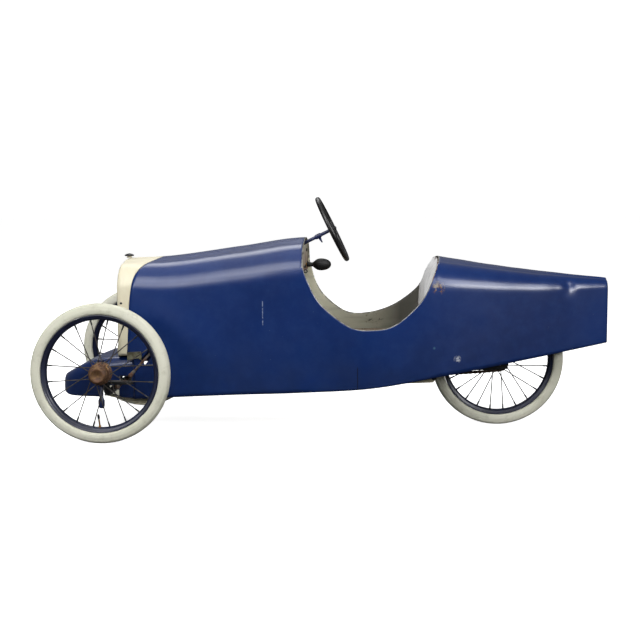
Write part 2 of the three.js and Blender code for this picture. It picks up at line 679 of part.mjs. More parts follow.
// A flat toothed disc about the Y axis, its teeth as wide as their gaps.
function toothedDisc(teeth, thickness) {
  const root = pitchRadius(teeth) - 4;
  const tip = pitchRadius(teeth) + 3;
  const outline = [];
  for (let i = 0; i < teeth; i++) {
    for (const [part, radius] of [[0, root], [0.4, tip], [0.6, tip]]) {
      const angle = ((i + part) * 2 * Math.PI) / teeth;
      outline.push([radius * Math.cos(angle), radius * Math.sin(angle)]);
    }
  }
  return sideways(outline, -thickness / 2, thickness / 2);
}

function sprocket() {
  return toothedDisc(SPROCKET_TEETH, 3).subtract(rod([0, -9, 0], [0, 9, 0], 7, 16));
}

function chainring() {
  const hole = rod([25, -9, 0], [25, 9, 0], 7, 6);
  const windows = [0, 72, 144, 216, 288].map((turn) => hole.rotate([0, turn, 0]));
  const disc = windows.reduce((a, b) => a.subtract(b), toothedDisc(CHAINRING_TEETH, 3));
  return disc.subtract(rod([0, -9, 0], [0, 9, 0], 7 + GAP, 12));
}

// The chain's two rows of side plates round both toothed wheels, held together by pins.
function chain() {
  const front = pitchRadius(CHAINRING_TEETH);
  const rear = pitchRadius(SPROCKET_TEETH);
  const steps = 8;
  const half = 4.2;
  const between = (a, b, t) => (1 - t) * a + t * b;
  const upper = (t) => between(CRANK_Z + front, AXLE_Z + rear, t);
  const lower = (t) => between(CRANK_Z - front, AXLE_Z - rear, t) - 4 * CHAIN_SAG * t * (1 - t);
  const shares = Array.from({ length: steps - 1 }, (_, i) => (i + 1) / steps);
  const along = (t) => between(CRANK_X, REAR_AXLE_X, t);
  const halfTurn = (x, z, radius, start) =>
    Array.from({ length: steps + 1 }, (_, i) => {
      const angle = start + (i * Math.PI) / steps;
      return [x + radius * Math.cos(angle), z + radius * Math.sin(angle)];
    });
  const loop = (out) => [
    ...halfTurn(CRANK_X, CRANK_Z, front + out, Math.PI / 2),
    ...shares.map((t) => [along(t), lower(t) - out]),
    ...halfTurn(REAR_AXLE_X, AXLE_Z, rear + out, -Math.PI / 2),
  ];
  const row = (y0, y1) => sideways(loop(half), y0, y1).subtract(sideways(loop(-half), y0 - 5, y1 + 5));
  const pin = (x, z) => rod([x, CHAIN_Y - 4, z], [x, CHAIN_Y + 4, z], 2, 4);
  const pins = shares.flatMap((t) => [pin(along(t), upper(t)), pin(along(t), lower(t))]);
  const rows = row(CHAIN_Y - 4, CHAIN_Y - 2.4).add(row(CHAIN_Y + 2.4, CHAIN_Y + 4));
  return pins.reduce((whole, one) => whole.add(one), rows);
}

// Crank bearing on its post, on a spine bar that runs from the front cross member to its own one behind.
function pedalFrame() {
  const shell = rod([CRANK_X, -32, CRANK_Z], [CRANK_X, 32, CRANK_Z], 17, 16);
  const [front, back] = [-464, 72];
  const [lowFront, lowBack] = [railTop(front) + 5.3, railTop(back) + 3];
  const outline = [[front, lowFront], [back, lowBack], [back, lowBack + 12], [front, lowFront + 14]];
  const spine = sideways(outline, 5, 25);
  const post = box(CRANK_X, 8, CRANK_Z - 24, 16, 30, 30);
  const bore = rod([CRANK_X, -50, CRANK_Z], [CRANK_X, 50, CRANK_Z], 7.5);
  return shell.add(post).add(spine).add(crossMember(58)).subtract(bore);
}

function crankAxle() {
  return rod([CRANK_X, -66, CRANK_Z], [CRANK_X, 66, CRANK_Z], 7);
}

// Crank arm with its pedal pin: the left one points forward, the right one back.
function crank(side) {
  const endX = CRANK_X + side * CRANK_ARM;
  const y = side * 59;
  const arm = box((CRANK_X + endX) / 2, y, CRANK_Z, CRANK_ARM, 8, 15);
  const eyes = [CRANK_X, endX].map((x) => rod([x, y - 4, CRANK_Z], [x, y + 4, CRANK_Z], 12, 14));
  const pin = rod([endX, y, CRANK_Z], [endX, side * 117, CRANK_Z], 4.5, 8);
  const bore = rod([CRANK_X, y - 9, CRANK_Z], [CRANK_X, y + 9, CRANK_Z], 7 + GAP);
  return arm.add(eyes[0]).add(eyes[1]).add(pin).subtract(bore);
}

function pedal(side) {
  const x = CRANK_X + side * CRANK_ARM;
  const y = side * 91;
  const sleeve = rod([x, y - 25, CRANK_Z], [x, y + 25, CRANK_Z], 9, 10);
  const blocks = [-22, 22].map((dx) => box(x + dx, y, CRANK_Z, 18, 48, 19));
  const plates = [-22, 22].map((dy) => box(x, y + dy, CRANK_Z, 44, 4, 15));
  const whole = [sleeve, ...blocks, ...plates].reduce((a, b) => a.add(b));
  return whole.subtract(rod([x, y - 40, CRANK_Z], [x, y + 40, CRANK_Z], 5));
}

// ---- assembly ----

add("body_shell", bodyShell(), blue);
add("radiator_shell", radiatorShell(), cream);
add("radiator_grille", radiatorGrille(), mesh);
add("radiator_cap", radiatorCap(), blackPaint);
add("nose_cowl", noseCowl(), blue);
add("dashboard", dashboard(), cream);
add("horn_bulb", hornBulb(), blackRubber);
add("horn_trumpet", hornTrumpet(), brass);
add("seat_back", seatBack(), bareSheet);
add("seat_board", seatBoard(), wood);
add("seat_support_front", seatSupport(28), cream);
add("seat_support_rear", seatSupport(180), cream);
add("chassis_rail_left", rail(-1), cream);
add("chassis_rail_right", rail(1), cream);
add("cross_member_front", springMount(), cream);
add("cross_member_rear", crossMember(255), cream);
add("body_bracket_left", bodyBracket(-1), steel);
add("body_bracket_right", bodyBracket(1), steel);
add("front_axle", frontAxle(), blackPaint);
add("king_pin_left", kingPin(-1), blue);
add("king_pin_right", kingPin(1), blue);
add("leaf_spring_left", leafSpring(-1), cream);
add("leaf_spring_right", leafSpring(1), cream);
add("column_bracket", columnBracket(), blackPaint);
add("rear_stay_left", rearStay(-1), blackPaint);
add("rear_stay_right", rearStay(1), blackPaint);
add("rear_axle", rearAxle(), steel);
add("pedal_frame", pedalFrame(), blackPaint);
add("chain", chain(), steel);

const column = steeringColumn();
add("steering_column", column.bar, blue);
add("steering_wheel", steeringWheel(), blackPaint);
add("drop_arm", dropArm(column.armEnd), steel);
add("drag_link", dragLink(column.armEnd), steel);
add("track_rod", trackRod(), steel);
add("stub_axle_left", stubAxle(-1), blackPaint);
add("stub_axle_right", stubAxle(1), blackPaint);

addFrontWheel("front_left", -1);
addFrontWheel("front_right", 1);
const rearOptions = { count: 24, flangeY: 24, flangeRadius: 23.5, side: -1, turn: 210 };
const rear = addWheel("rear", REAR_AXLE_X, 0, rearOptions);
add("rear_hub", rearHub(), steel, rear.wheel);
add("rear_sprocket", moved(sprocket(), 0, CHAIN_Y, 0), steel, rear.wheel);

add("crank_axle", crankAxle(), steel);
add("chainring", moved(chainring(), CRANK_X, CHAIN_Y, CRANK_Z), steel);
add("crank_left", crank(-1), steel);
add("crank_right", crank(1), steel);
add("pedal_left", pedal(-1), blackRubber);
add("pedal_right", pedal(1), blackRubber);

export default car;
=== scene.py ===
from math import asin, cos, exp, pi, radians, sin, sqrt, tan, tau

import bmesh
import bpy
from mathutils import Matrix, Vector, noise


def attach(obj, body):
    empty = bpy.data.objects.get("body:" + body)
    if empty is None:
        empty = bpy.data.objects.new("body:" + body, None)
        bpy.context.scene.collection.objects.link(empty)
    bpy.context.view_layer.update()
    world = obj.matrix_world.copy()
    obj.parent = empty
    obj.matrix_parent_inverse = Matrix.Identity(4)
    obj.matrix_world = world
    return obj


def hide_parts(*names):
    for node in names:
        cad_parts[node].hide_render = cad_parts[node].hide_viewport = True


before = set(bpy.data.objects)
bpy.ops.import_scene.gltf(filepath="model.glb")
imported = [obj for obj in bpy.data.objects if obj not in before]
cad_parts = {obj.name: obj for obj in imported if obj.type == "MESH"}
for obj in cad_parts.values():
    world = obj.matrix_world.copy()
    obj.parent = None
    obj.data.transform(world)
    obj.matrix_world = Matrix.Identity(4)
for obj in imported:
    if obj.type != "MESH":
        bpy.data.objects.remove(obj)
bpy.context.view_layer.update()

# All lengths are in millimetres until a mesh is made. X runs from nose to tail, the driver's left is -Y.
MM = 0.001
SHEET = 2.0
WHEEL_Y = 283.5
FRONT_X = -574.5
REAR_X = 460.5
AXLE_Z = 180.0
TAIL_X = 754.5
HOOD_END_X = -63.0
DECK_X = 290.0
NOSE_TOP_Z = 208.0
NOSE_EDGE = 26.0
RADIATOR_X = -558.0
SHELL_LIP = 9.0
TAIL_ROUND = 6.0
# Openings in the sides for the front axle and for the drag link: middle and size
NOSE_OPENING, NOSE_OPENING_SIZE = (-574, 0, 104.2), (118, 420, 208.4)
DRAG_SLOT, DRAG_SLOT_SIZE, DRAG_SLOT_TILT = (-474.5, -160, 210.5), (54, 60, 16), -53
KINGPIN_X = FRONT_X - 8
KINGPIN_Y = 243.0
RAIL_Y = 132.0
RAIL_HEIGHT = 24.0
RAIL_ENDS = (-490.0, 290.0)
SPRING_X = -472.0
SPRING_Y = 108.0
STAY_Y = 53.0
COLUMN_TURN = radians(26)
WHEEL_CENTRE = (9.0, 538.0)
COLUMN_FOOT_X = -437.0
DROP_ARM = 41.0
TRACK_ROD_X = KINGPIN_X + 42.5
DRAG_BALL_X = KINGPIN_X + 77
ARM_Z = 150.0
CRANK_X, CRANK_Z, CRANK_ARM = -300.0, 188.0, 64.0
CHAIN_PITCH, CHAIN_Y, CHAIN_SAG = 12.7, -45.0, 14.0
RING_TEETH, SPROCKET_TEETH = 20, 12
SEAT_Z = 246.0
HORN_Y, HORN_Z = 70.0, 438.0
SIDES = (("left", -1), ("right", 1))

# Body stations: x, half width, bottom edge, ridge, height of the rounded shoulder
BODY = (
    (-558, 150, 90, 461, 74),
    (-430, 163, 98, 468, 88),
    (-240, 182, 109, 494, 96),
    (-63, 196, 117, 517, 100),
    (120, 199, 129, 500, 95),
    (300, 179, 158, 464, 78),
    (530, 110, 194, 429, 56),
    (754.5, 30, 230, 405, 28),
)
CROWN = 0.12
# Nose fairing stations: x, half width, bottom edge, top
NOSE = (
    (-735, 20, 112, 134),
    (-726, 58, 101, 144),
    (-704, 96, 95, 156),
    (-664, 126, 96, 178),
    (-612, 143, 97, 197),
    (-515, 152, 94, 208),
)
# Where the cream shell meets the blue body, from the side: x, z
SEAM = (
    (-533, 200), (-529, 260), (-525, 333), (-518, 390), (-508, 425), (-490, 448), (-462, 463), (-440, 474),
)
# The cockpit's rim on each side: x, z
RIM = {
    -1: (
        (-63, 446), (-51, 413), (-17, 351), (57, 292), (117, 282), (176, 294), (235, 343), (265, 389),
        (290, 452),
    ),
    1: (
        (-63, 446), (-47, 386), (-17, 339), (43, 295), (107, 292), (177, 314), (237, 356), (262, 389),
        (290, 452),
    ),
}
# The seat back's sheet from the seat up: x, z
SEAT_PROFILE = ((248, 250), (252, 314), (254, 354), (259, 395), (271, 430), (289, 455), (299, 465))


def pitch_radius(teeth):
    return CHAIN_PITCH / (2 * sin(pi / teeth))


def rail_bottom(x):
    return 108 + 28 * (x - RAIL_ENDS[0]) / (RAIL_ENDS[1] - RAIL_ENDS[0])


def on_column(x, y=0.0):
    return Vector((x, y, WHEEL_CENTRE[1] - (WHEEL_CENTRE[0] - x) * tan(COLUMN_TURN)))


def turned(degrees, axis):
    return Matrix.Rotation(radians(degrees), 4, axis)


def placed(place, degrees, axis):
    """Turned about an axis, then moved to a place."""
    return Matrix.Translation(place) @ turned(degrees, axis)


# ---- smooth curves and the body's skin ----


def station(stations, x):
    """The stations read at x along a smooth curve."""
    last = len(stations) - 1
    i = max(0, min(last - 1, next((k for k, s in enumerate(stations) if s[0] > x), last) - 1))
    a, b = stations[i], stations[i + 1]
    before, after = stations[max(i - 1, 0)], stations[min(i + 2, last)]
    span = b[0] - a[0]
    t = max(0.0, min(1.0, (x - a[0]) / span))
    weights = (2 * t**3 - 3 * t**2 + 1, t**3 - 2 * t**2 + t, 3 * t**2 - 2 * t**3, t**3 - t**2)
    out = []
    for k in range(len(a)):
        slope_a = (b[k] - before[k]) / (b[0] - before[0]) * span
        slope_b = (after[k] - a[k]) / (after[0] - a[0]) * span
        out.append(weights[0] * a[k] + weights[1] * slope_a + weights[2] * b[k] + weights[3] * slope_b)
    return out


def smooth_path(points, steps=6, closed=False):
    """Points along the Catmull-Rom curve through the given ones."""
    points = [Vector(p) for p in points]
    count = len(points)
    out = []
    for i in range(count if closed else count - 1):
        if closed:
            a, b, c, d = (points[(i + k) % count] for k in (-1, 0, 1, 2))
        else:
            a, b, c, d = points[max(i - 1, 0)], points[i], points[i + 1], points[min(i + 2, count - 1)]
        for k in range(steps):
            t = k / steps
            slope_b, slope_c = (c - a) / 2, (d - b) / 2
            out.append(
                (2 * b - 2 * c + slope_b + slope_c) * t**3
                + (-3 * b + 3 * c - 2 * slope_b - slope_c) * t**2
                + slope_b * t
                + b
            )
    return out if closed else out + [points[-1]]


def read_curve(points, at, key=0):
    """The other coordinate of a dense curve where its key coordinate is at."""
    other = 1 - key
    for a, b in zip(points, points[1:]):
        if (a[key] - at) * (b[key] - at) <= 0 and a[key] != b[key]:
            t = (at - a[key]) / (b[key] - a[key])
            return a[other] + t * (b[other] - a[other])
    return points[0][other] if abs(at - points[0][key]) < abs(at - points[-1][key]) else points[-1][other]


SEAM_CURVE = smooth_path(SEAM, 8)
RIM_CURVE = {side: smooth_path(points, 10) for side, points in RIM.items()}
SIDE_PART, ARC_PART = 0.5, 0.85


def body_section(x):
    _, width, bottom, ridge, shoulder = station(BODY, x)
    return width, bottom, ridge, shoulder, shoulder * CROWN, min(shoulder, width * 0.9)


def body_point(x, s, side, inset=0.0):
    """The skin's point at x, from the bottom edge (s 0) over the shoulder to the ridge (s 1)."""
    width, bottom, top, shoulder, crown, reach = body_section(x)
    width, top = width - inset, top - inset
    reach = min(reach, width)
    low = top - shoulder
    if s <= SIDE_PART:
        y, z = width, bottom + (low - bottom) * s / SIDE_PART
    elif s <= ARC_PART:
        angle = (s - SIDE_PART) / (ARC_PART - SIDE_PART) * pi / 2
        y, z = width - reach * (1 - cos(angle)), low + (shoulder - crown) * sin(angle)
    else:
        t = (1 - s) / (1 - ARC_PART)
        y, z = (width - reach) * t, top - crown * t * t
    return Vector((x, side * y, z))


def body_share(x, z):
    """The s at which the section at x reaches height z."""
    _, bottom, top, shoulder, crown, _ = body_section(x)
    low = top - shoulder
    if z <= low:
        return max(0.0, SIDE_PART * (z - bottom) / (low - bottom))
    if z <= top - crown:
        angle = asin((z - low) / (shoulder - crown))
        return SIDE_PART + (ARC_PART - SIDE_PART) * angle / (pi / 2)
    return 1 - (1 - ARC_PART) * sqrt(max(0.0, (top - z) / crown))


def body_width_at(x, z, inset=0.0):
    return abs(body_point(x, min(1.0, body_share(x, z)), 1, inset).y)


# ---- meshes ----


def link(name, data):
    piece = bpy.data.objects.new(name, data)
    bpy.context.scene.collection.objects.link(piece)
    return piece


class Shape:
    """The vertices and faces of one piece, put together from simple forms."""

    def __init__(self):
        self.verts, self.faces, self.slots = [], [], []

    def add(self, verts, faces, slot=0, at=None):
        start = len(self.verts)
        self.verts += [at @ Vector(v) if at else Vector(v) for v in verts]
        self.faces += [[start + i for i in face] for face in faces]
        self.slots += [slot] * len(faces)
        return self

    def grid(self, rows, round_rows=False, round_columns=False, slot=0, at=None):
        """A skin over rows of equal length."""
        m, n = len(rows), len(rows[0])
        faces = []
        for i in range(m if round_rows else m - 1):
            for j in range(n if round_columns else n - 1):
                k, l = (i + 1) % m, (j + 1) % n
                faces.append((i * n + j, i * n + l, k * n + l, k * n + j))
        return self.add([p for row in rows for p in row], faces, slot, at)

    def side_skin(self, rows, side):
        """A skin for one side of the car, facing outwards on both."""
        return self.grid(rows if side < 0 else [row[::-1] for row in rows])

    def lathe(self, profile, sides=64, at=None, slot=0, closed=False):
        """Turned about the Y axis from (radius, y) points."""
        rows = []
        for k in range(sides):
            angle = tau * k / sides
            rows.append([(r * cos(angle), y, r * sin(angle)) for r, y in profile])
        return self.grid(rows, round_rows=True, round_columns=closed, slot=slot, at=at)

    def tube(self, path, radius, sides=16, slot=0, at=None):
        """A round bar along a path; the radius is one number or one for each point."""
        path = [Vector(p) for p in path]
        radii = radius if isinstance(radius, (list, tuple)) else [radius] * len(path)
        ends = zip(path[:1] + path[:-1], path[1:] + path[-1:])
        tangents = [(after - before).normalized() for before, after in ends]
        across = tangents[0].orthogonal().normalized()
        rows = []
        for p, t, r in zip(path, tangents, radii):
            across = (across - t * across.dot(t)).normalized()
            up = t.cross(across)
            turns = [tau * k / sides for k in range(sides)]
            rows.append([p + (across * cos(a) + up * sin(a)) * r for a in turns])
        start = len(self.verts)
        self.grid(rows, round_columns=True, slot=slot, at=at)
        last = start + (len(rows) - 1) * sides
        self.faces += [list(range(start, start + sides)), list(range(last, last + sides))]
        self.slots += [slot, slot]
        return self

    def rod(self, axis, place, low, high, radius, sides, slot=0):
        """A straight round bar along one axis, between two distances from a place."""
        step = Vector([axis == name for name in "XYZ"])
        place = Vector(place)
        return self.tube([place + step * low, place + step * high], radius, sides, slot)

    def prism(self, outline, low, high, plane="XZ", slot=0, at=None):
        """An outline pushed along the axis that it doesn't lie in."""
        order = {"XZ": (0, 2, 1), "YZ": (2, 0, 1), "XY": (0, 1, 2)}[plane]
        n = len(outline)
        verts = [[(a, b, c)[k] for k in order] for c in (low, high) for a, b in outline]
        faces = [(i, (i + 1) % n, n + (i + 1) % n, n + i) for i in range(n)]
        return self.add(verts, faces + [tuple(range(n)), tuple(range(n, 2 * n))], slot, at)

    def box(self, centre, size, slot=0, at=None):
        (x, y, z), (a, b, c) = centre, (v / 2 for v in size)
        outline = [(x - a, y - b), (x + a, y - b), (x + a, y + b), (x - a, y + b)]
        return self.prism(outline, z - c, z + c, "XY", slot, at)

    def ball(self, centre, radius, sides=20, slot=0, stretch=(1, 1, 1)):
        profile = [(radius * sin(pi * k / 12), -radius * cos(pi * k / 12)) for k in range(13)]
        at = Matrix.Translation(centre) @ Matrix.Diagonal((*stretch, 1))
        return self.lathe(profile, sides, at, slot)

    def build(self, name, finish, node=None, body="chassis", bevel=0.0, sharp=35, thickness=0.0, segments=2):
        """The shape as an object that rides on a body and stands for a CAD node, if one is named."""
        mesh = bpy.data.meshes.new(name)
        mesh.from_pydata([v * MM for v in self.verts], [], self.faces)
        finishes = finish if isinstance(finish, (list, tuple)) else [finish]
        for material in finishes:
            mesh.materials.append(material)
        mesh.polygons.foreach_set("material_index", self.slots)
        bm = bmesh.new()
        bm.from_mesh(mesh)
        bmesh.ops.remove_doubles(bm, verts=bm.verts, dist=2e-6)
        bmesh.ops.dissolve_degenerate(bm, edges=bm.edges, dist=1e-6)
        if thickness == 0:
            bmesh.ops.recalc_face_normals(bm, faces=bm.faces)
        bm.to_mesh(mesh)
        bm.free()
        mesh.shade_smooth()
        mesh.set_sharp_from_angle(angle=radians(sharp))
        piece = link(name, mesh)
        if thickness:
            skin = piece.modifiers.new("Sheet", "SOLIDIFY")
            skin.thickness = thickness * MM
            skin.offset = -1
            skin.use_even_offset = True
            if len(finishes) > 1:
                skin.material_offset = 1
                skin.material_offset_rim = 0
        if bevel:
            edge = piece.modifiers.new("Edges", "BEVEL")
            edge.width = bevel * MM
            edge.segments = segments
            edge.limit_method = "ANGLE"
            edge.angle_limit = radians(40)
            edge.harden_normals = True
        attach(piece, body)
        if node:
            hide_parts(node)
        next(slot for slot, members in SLOTS.items() if finishes[0] in members)
        return piece


def cut_window(mesh, box_to_world, half):
    """Takes the faces inside a box out of a skin, along straight edges."""
    world_to_box = box_to_world.inverted()
    bm = bmesh.new()
    bm.from_mesh(mesh)
    for axis in range(3):
        for sign in (-1, 1):
            near = [
                f for f in bm.faces
                if all(abs(c) < h + 25 * MM for c, h in zip(world_to_box @ f.calc_center_median(), half))
            ]
            edges = {e for f in near for e in f.edges}
            verts = {v for f in near for v in f.verts}
            local = Vector((0, 0, 0))
            local[axis] = sign * half[axis]
            normal = Vector((0, 0, 0))
            normal[axis] = 1
            bmesh.ops.bisect_plane(
                bm, geom=near + list(edges) + list(verts), dist=1e-7,
                plane_co=box_to_world @ local, plane_no=box_to_world.to_3x3() @ normal,
            )
    inside = [
        f for f in bm.faces
        if all(abs(c) < h for c, h in zip(world_to_box @ f.calc_center_median(), half))
    ]
    bmesh.ops.delete(bm, geom=inside, context="FACES")
    bm.to_mesh(mesh)
    bm.free()


def window(piece, centre, size, tilt=0):
    """Cuts a box of millimetres, tilted by degrees about Y, out of a piece's skin."""
    matrix = placed(Vector(centre) * MM, tilt, "Y")
    cut_window(piece.data, matrix, [v / 2 * MM for v in size])


# ---- finishes ----


def srgb(red, green, blue):
    def linear(v):
        v /= 255
        return v / 12.92 if v <= 0.04045 else ((v + 0.055) / 1.055) ** 2.4

    return (linear(red), linear(green), linear(blue), 1.0)


class Finish:
    """One procedural material, with short names for the nodes it is built from."""

    def __init__(self, name, **sockets):
        self.material = bpy.data.materials.new(name)
        self.material.use_nodes = True
        self.tree = self.material.node_tree
        self.shader = self.tree.nodes["Principled BSDF"]
        self.place = self.node("ShaderNodeTexCoord").outputs["Object"]
        for socket, value in sockets.items():
            self.shader.inputs[socket.replace("_", " ")].default_value = value

    def node(self, kind, inputs=(), **settings):
        made = self.tree.nodes.new(kind)
        for key, value in settings.items():
            setattr(made, key, value)
        for key, value in dict(inputs).items():
            if isinstance(value, bpy.types.NodeSocket):
                self.tree.links.new(value, made.inputs[key])
            else:
                made.inputs[key].default_value = value
        return made

    def noise(self, scale, detail=4.0, roughness=0.55, stretch=(1, 1, 1), shift=0.0, distortion=0.0):
        mapping = {"Vector": self.place, "Scale": stretch, "Location": (shift,) * 3}
        mapped = self.node("ShaderNodeMapping", mapping)
        inputs = {
            "Vector": mapped.outputs[0], "Scale": scale, "Detail": detail, "Roughness": roughness,
            "Distortion": distortion,
        }
        return self.node("ShaderNodeTexNoise", inputs).outputs[0]

    def band(self, value, low, high, to=(0.0, 1.0)):
        inputs = {"Value": value, "From Min": low, "From Max": high, "To Min": to[0], "To Max": to[1]}
        return self.node("ShaderNodeMapRange", inputs, clamp=True).outputs[0]

    def math(self, operation, a, b=0.0):
        return self.node("ShaderNodeMath", {0: a, 1: b}, operation=operation).outputs[0]

    def both(self, a, b):
        return self.math("MULTIPLY", a, b)

    def mix(self, factor, a, b):
        return self.node("ShaderNodeMix", {0: factor, 6: a, 7: b}, data_type="RGBA").outputs[2]

    def over(self, factor, tone):
        """Lays a tone over the colour so far, where the factor is 1."""
        self.colour = self.mix(factor, self.colour, tone)

    def axis(self, name):
        return self.node("ShaderNodeSeparateXYZ", {0: self.place}).outputs[name]

    def near(self, centre, radius, soft=0.5):
        """1 close to a point of the object, fading to 0 at the radius, both in metres."""
        gap = self.node("ShaderNodeVectorMath", {0: self.place, 1: centre}, operation="DISTANCE")
        return self.band(gap.outputs["Value"], radius, radius * soft)

    def attribute(self, name):
        return self.node("ShaderNodeAttribute", attribute_name=name).outputs["Fac"]

    def line(self, x, low, high, half):
        """An upright mark on the left side at x, between two heights, all in metres."""
        away = self.math("ABSOLUTE", self.math("SUBTRACT", self.axis("X"), x))
        fade = 0.008
        above = self.band(self.axis("Z"), low, low + fade)
        tall = self.both(above, self.band(self.axis("Z"), high, high - fade))
        left = self.band(self.axis("Y"), -0.05, -0.1)
        return self.both(self.both(self.band(away, half, half * 0.4), tall), left)

    def bump(self, height, distance, strength=1.0, under=None):
        inputs = {"Height": height, "Distance": distance, "Strength": strength}
        if under is not None:
            inputs["Normal"] = under
        return self.node("ShaderNodeBump", inputs).outputs[0]

    def done(self, roughness, metallic=None, normal=None):
        sockets = {"Base Color": self.colour, "Roughness": roughness, "Metallic": metallic, "Normal": normal}
        for socket, value in sockets.items():
            if value is not None:
                self.tree.links.new(value, self.shader.inputs[socket])
        return self.material


def body_blue():
    m = Finish("body_blue", Coat_Weight=0.7, Coat_Roughness=0.25, Specular_IOR_Level=0.12)
    broad = m.noise(2.6, 3, shift=4.0)
    m.colour = m.mix(m.band(broad, 0.35, 0.65), srgb(3, 33, 86), srgb(6, 42, 102))
    m.over(m.band(m.noise(34, 6, 0.65), 0.42, 0.75, (0.0, 0.3)), srgb(30, 58, 112))
    # Painted shade: the blue darkens towards the bottom of the sides, in noisy patches.
    low_painted_shade = m.band(m.axis("Z"), 0.30, 0.12, (0.0, 0.55))
    m.over(m.both(low_painted_shade, m.band(m.noise(7, 4), 0.25, 0.6)), srgb(16, 30, 60))
    fine = m.band(m.noise(160, 3, 0.7, (0.6, 1, 0.6)), 0.72, 0.78, (0.0, 0.35))
    m.over(fine, srgb(104, 118, 148))
    scratch = m.both(m.line(-0.167, 0.290, 0.363, 0.0016), m.band(m.noise(90, 4, 0.7), 0.42, 0.55))
    m.over(scratch, srgb(120, 134, 160))
    m.over(m.line(0.080, 0.120, 0.188, 0.0014), srgb(6, 12, 28))
    # Worn bare metal along the sheet's open edges, which on the cockpit rim is also a painted highlight: a
    # thin light-grey line where the rim's edge would catch the light.
    edge = m.band(m.attribute("edge_wear_and_highlight"), 0.55, 0.8)
    rim_wear_and_highlight_tone = m.mix(m.band(m.noise(70, 4), 0.4, 0.6), srgb(150, 150, 144), srgb(74, 70, 64))
    m.over(edge, rim_wear_and_highlight_tone)
    corner = m.both(m.near((0.289, -0.178, 0.390), 0.020), m.band(m.noise(95, 5, 0.7, shift=2.0), 0.47, 0.53))
    rust = m.mix(m.band(m.noise(60, 3), 0.4, 0.6), srgb(96, 58, 34), srgb(150, 140, 128))
    m.over(corner, rust)
    scrape = m.both(m.near((0.339, -0.165, 0.2026), 0.012, 0.2), m.band(m.noise(150, 4), 0.4, 0.55))
    speck = m.near((0.2786, -0.18, 0.2331), 0.005, 0.4)
    m.over(scrape, srgb(196, 200, 206))
    m.over(speck, srgb(58, 96, 124))
    bare_and_highlit = m.math("MAXIMUM", edge, corner)
    dull = m.band(m.noise(18, 5, 0.6), 0.3, 0.7, (0.34, 0.5))
    rough = m.math("MAXIMUM", dull, m.band(bare_and_highlit, 0.0, 1.0, (0.0, 0.7)))
    peel = m.bump(m.noise(260, 3), 0.0006, 0.12)
    dents = m.bump(m.noise(16, 3), 0.004, 0.12, peel)
    return m.done(rough, None, m.bump(bare_and_highlit, -0.0004, 0.5, dents))


def plain_blue(name, dark, light, rough=(0.28, 0.45)):
    m = Finish(name, Coat_Weight=0.15, Coat_Roughness=0.2, Specular_IOR_Level=0.35)
    m.colour = m.mix(m.band(m.noise(22, 4), 0.35, 0.65), dark, light)
    chips = m.band(m.noise(170, 5, 0.7), 0.67, 0.7)
    m.over(chips, srgb(110, 104, 98))
    peel = m.bump(m.noise(300, 3), 0.0005, 0.15)
    return m.done(m.band(m.noise(30, 4), 0.3, 0.7, rough), None, m.bump(chips, -0.0003, 0.5, peel))


def cream_paint(name, light, dark, stain=0.3, rust=0.25):
    m = Finish(name, Coat_Weight=0.1, Coat_Roughness=0.3)
    m.colour = m.mix(m.band(m.noise(6, 4, shift=1.3), 0.35, 0.7), light, dark)
    streaks = m.band(m.noise(30, 4, 0.6, (1, 1, 0.12)), 0.55, 0.75, (0.0, stain))
    m.over(streaks, srgb(150, 130, 92))
    chips = m.both(m.band(m.noise(70, 6, 0.7), 0.63, 0.66), m.band(m.noise(8, 2, shift=7.0), 0.45, 0.6))
    m.over(m.both(chips, m.band(m.noise(4, 1), 0.0, 1.0, (rust, rust))), srgb(112, 66, 36))
    peel = m.bump(m.noise(240, 3), 0.0006, 0.12)
    return m.done(m.band(m.noise(24, 4), 0.3, 0.7, (0.38, 0.58)), None, m.bump(chips, -0.0004, 0.4, peel))


def inside_cream():
    m = Finish("inside_cream", Coat_Weight=0.05, Coat_Roughness=0.4)
    m.colour = m.mix(m.band(m.noise(5, 4), 0.35, 0.7), srgb(240, 237, 212), srgb(214, 211, 186))
    smears = m.band(m.noise(16, 5, 0.65, (0.5, 1, 3)), 0.5, 0.72, (0.0, 0.45))
    m.over(smears, srgb(146, 144, 124))
    # Painted shade: the inner walls darken towards the rear of the cockpit.
    rear = m.band(m.axis("X"), -0.02, 0.20, (0.0, 0.97))
    m.over(rear, srgb(46, 45, 39))
    # Painted shade: the inner walls darken towards the front, in under the hood.
    front = m.band(m.axis("X"), -0.14, -0.34, (0.0, 0.95))
    m.over(front, srgb(34, 32, 28))
    rim = m.both(m.attribute("edge_wear_and_highlight"), m.band(m.noise(60, 5, 0.7), 0.40, 0.50))
    specks = m.both(m.near((0.123, 0.199, 0.272), 0.03), m.band(m.noise(130, 4, 0.7), 0.56, 0.6))
    chips = m.math("MAXIMUM", rim, m.math("MAXIMUM", specks, m.band(m.noise(90, 5, 0.7), 0.70, 0.73)))
    m.over(chips, srgb(40, 38, 33))
    return m.done(m.band(m.noise(24, 4), 0.3, 0.7, (0.45, 0.7)), None, m.bump(chips, -0.0004, 0.6))


def dash_cream():
    m = Finish("dash_cream", Coat_Weight=0.05, Coat_Roughness=0.35)
    m.colour = m.mix(m.band(m.noise(9, 4), 0.35, 0.7), srgb(240, 236, 220), srgb(222, 216, 194))
    run = m.band(m.noise(26, 6, 0.7, (1, 1.2, 0.22)), 0.44, 0.54)
    where = m.band(m.axis("Z"), 0.50, 0.44)
    rust = m.both(run, where)
    tones = m.mix(m.band(m.noise(80, 4), 0.4, 0.6), srgb(148, 82, 44), srgb(104, 56, 34))
    m.over(rust, tones)
    return m.done(m.band(rust, 0.0, 1.0, (0.45, 0.85)), None, m.bump(rust, 0.0006, 0.6))


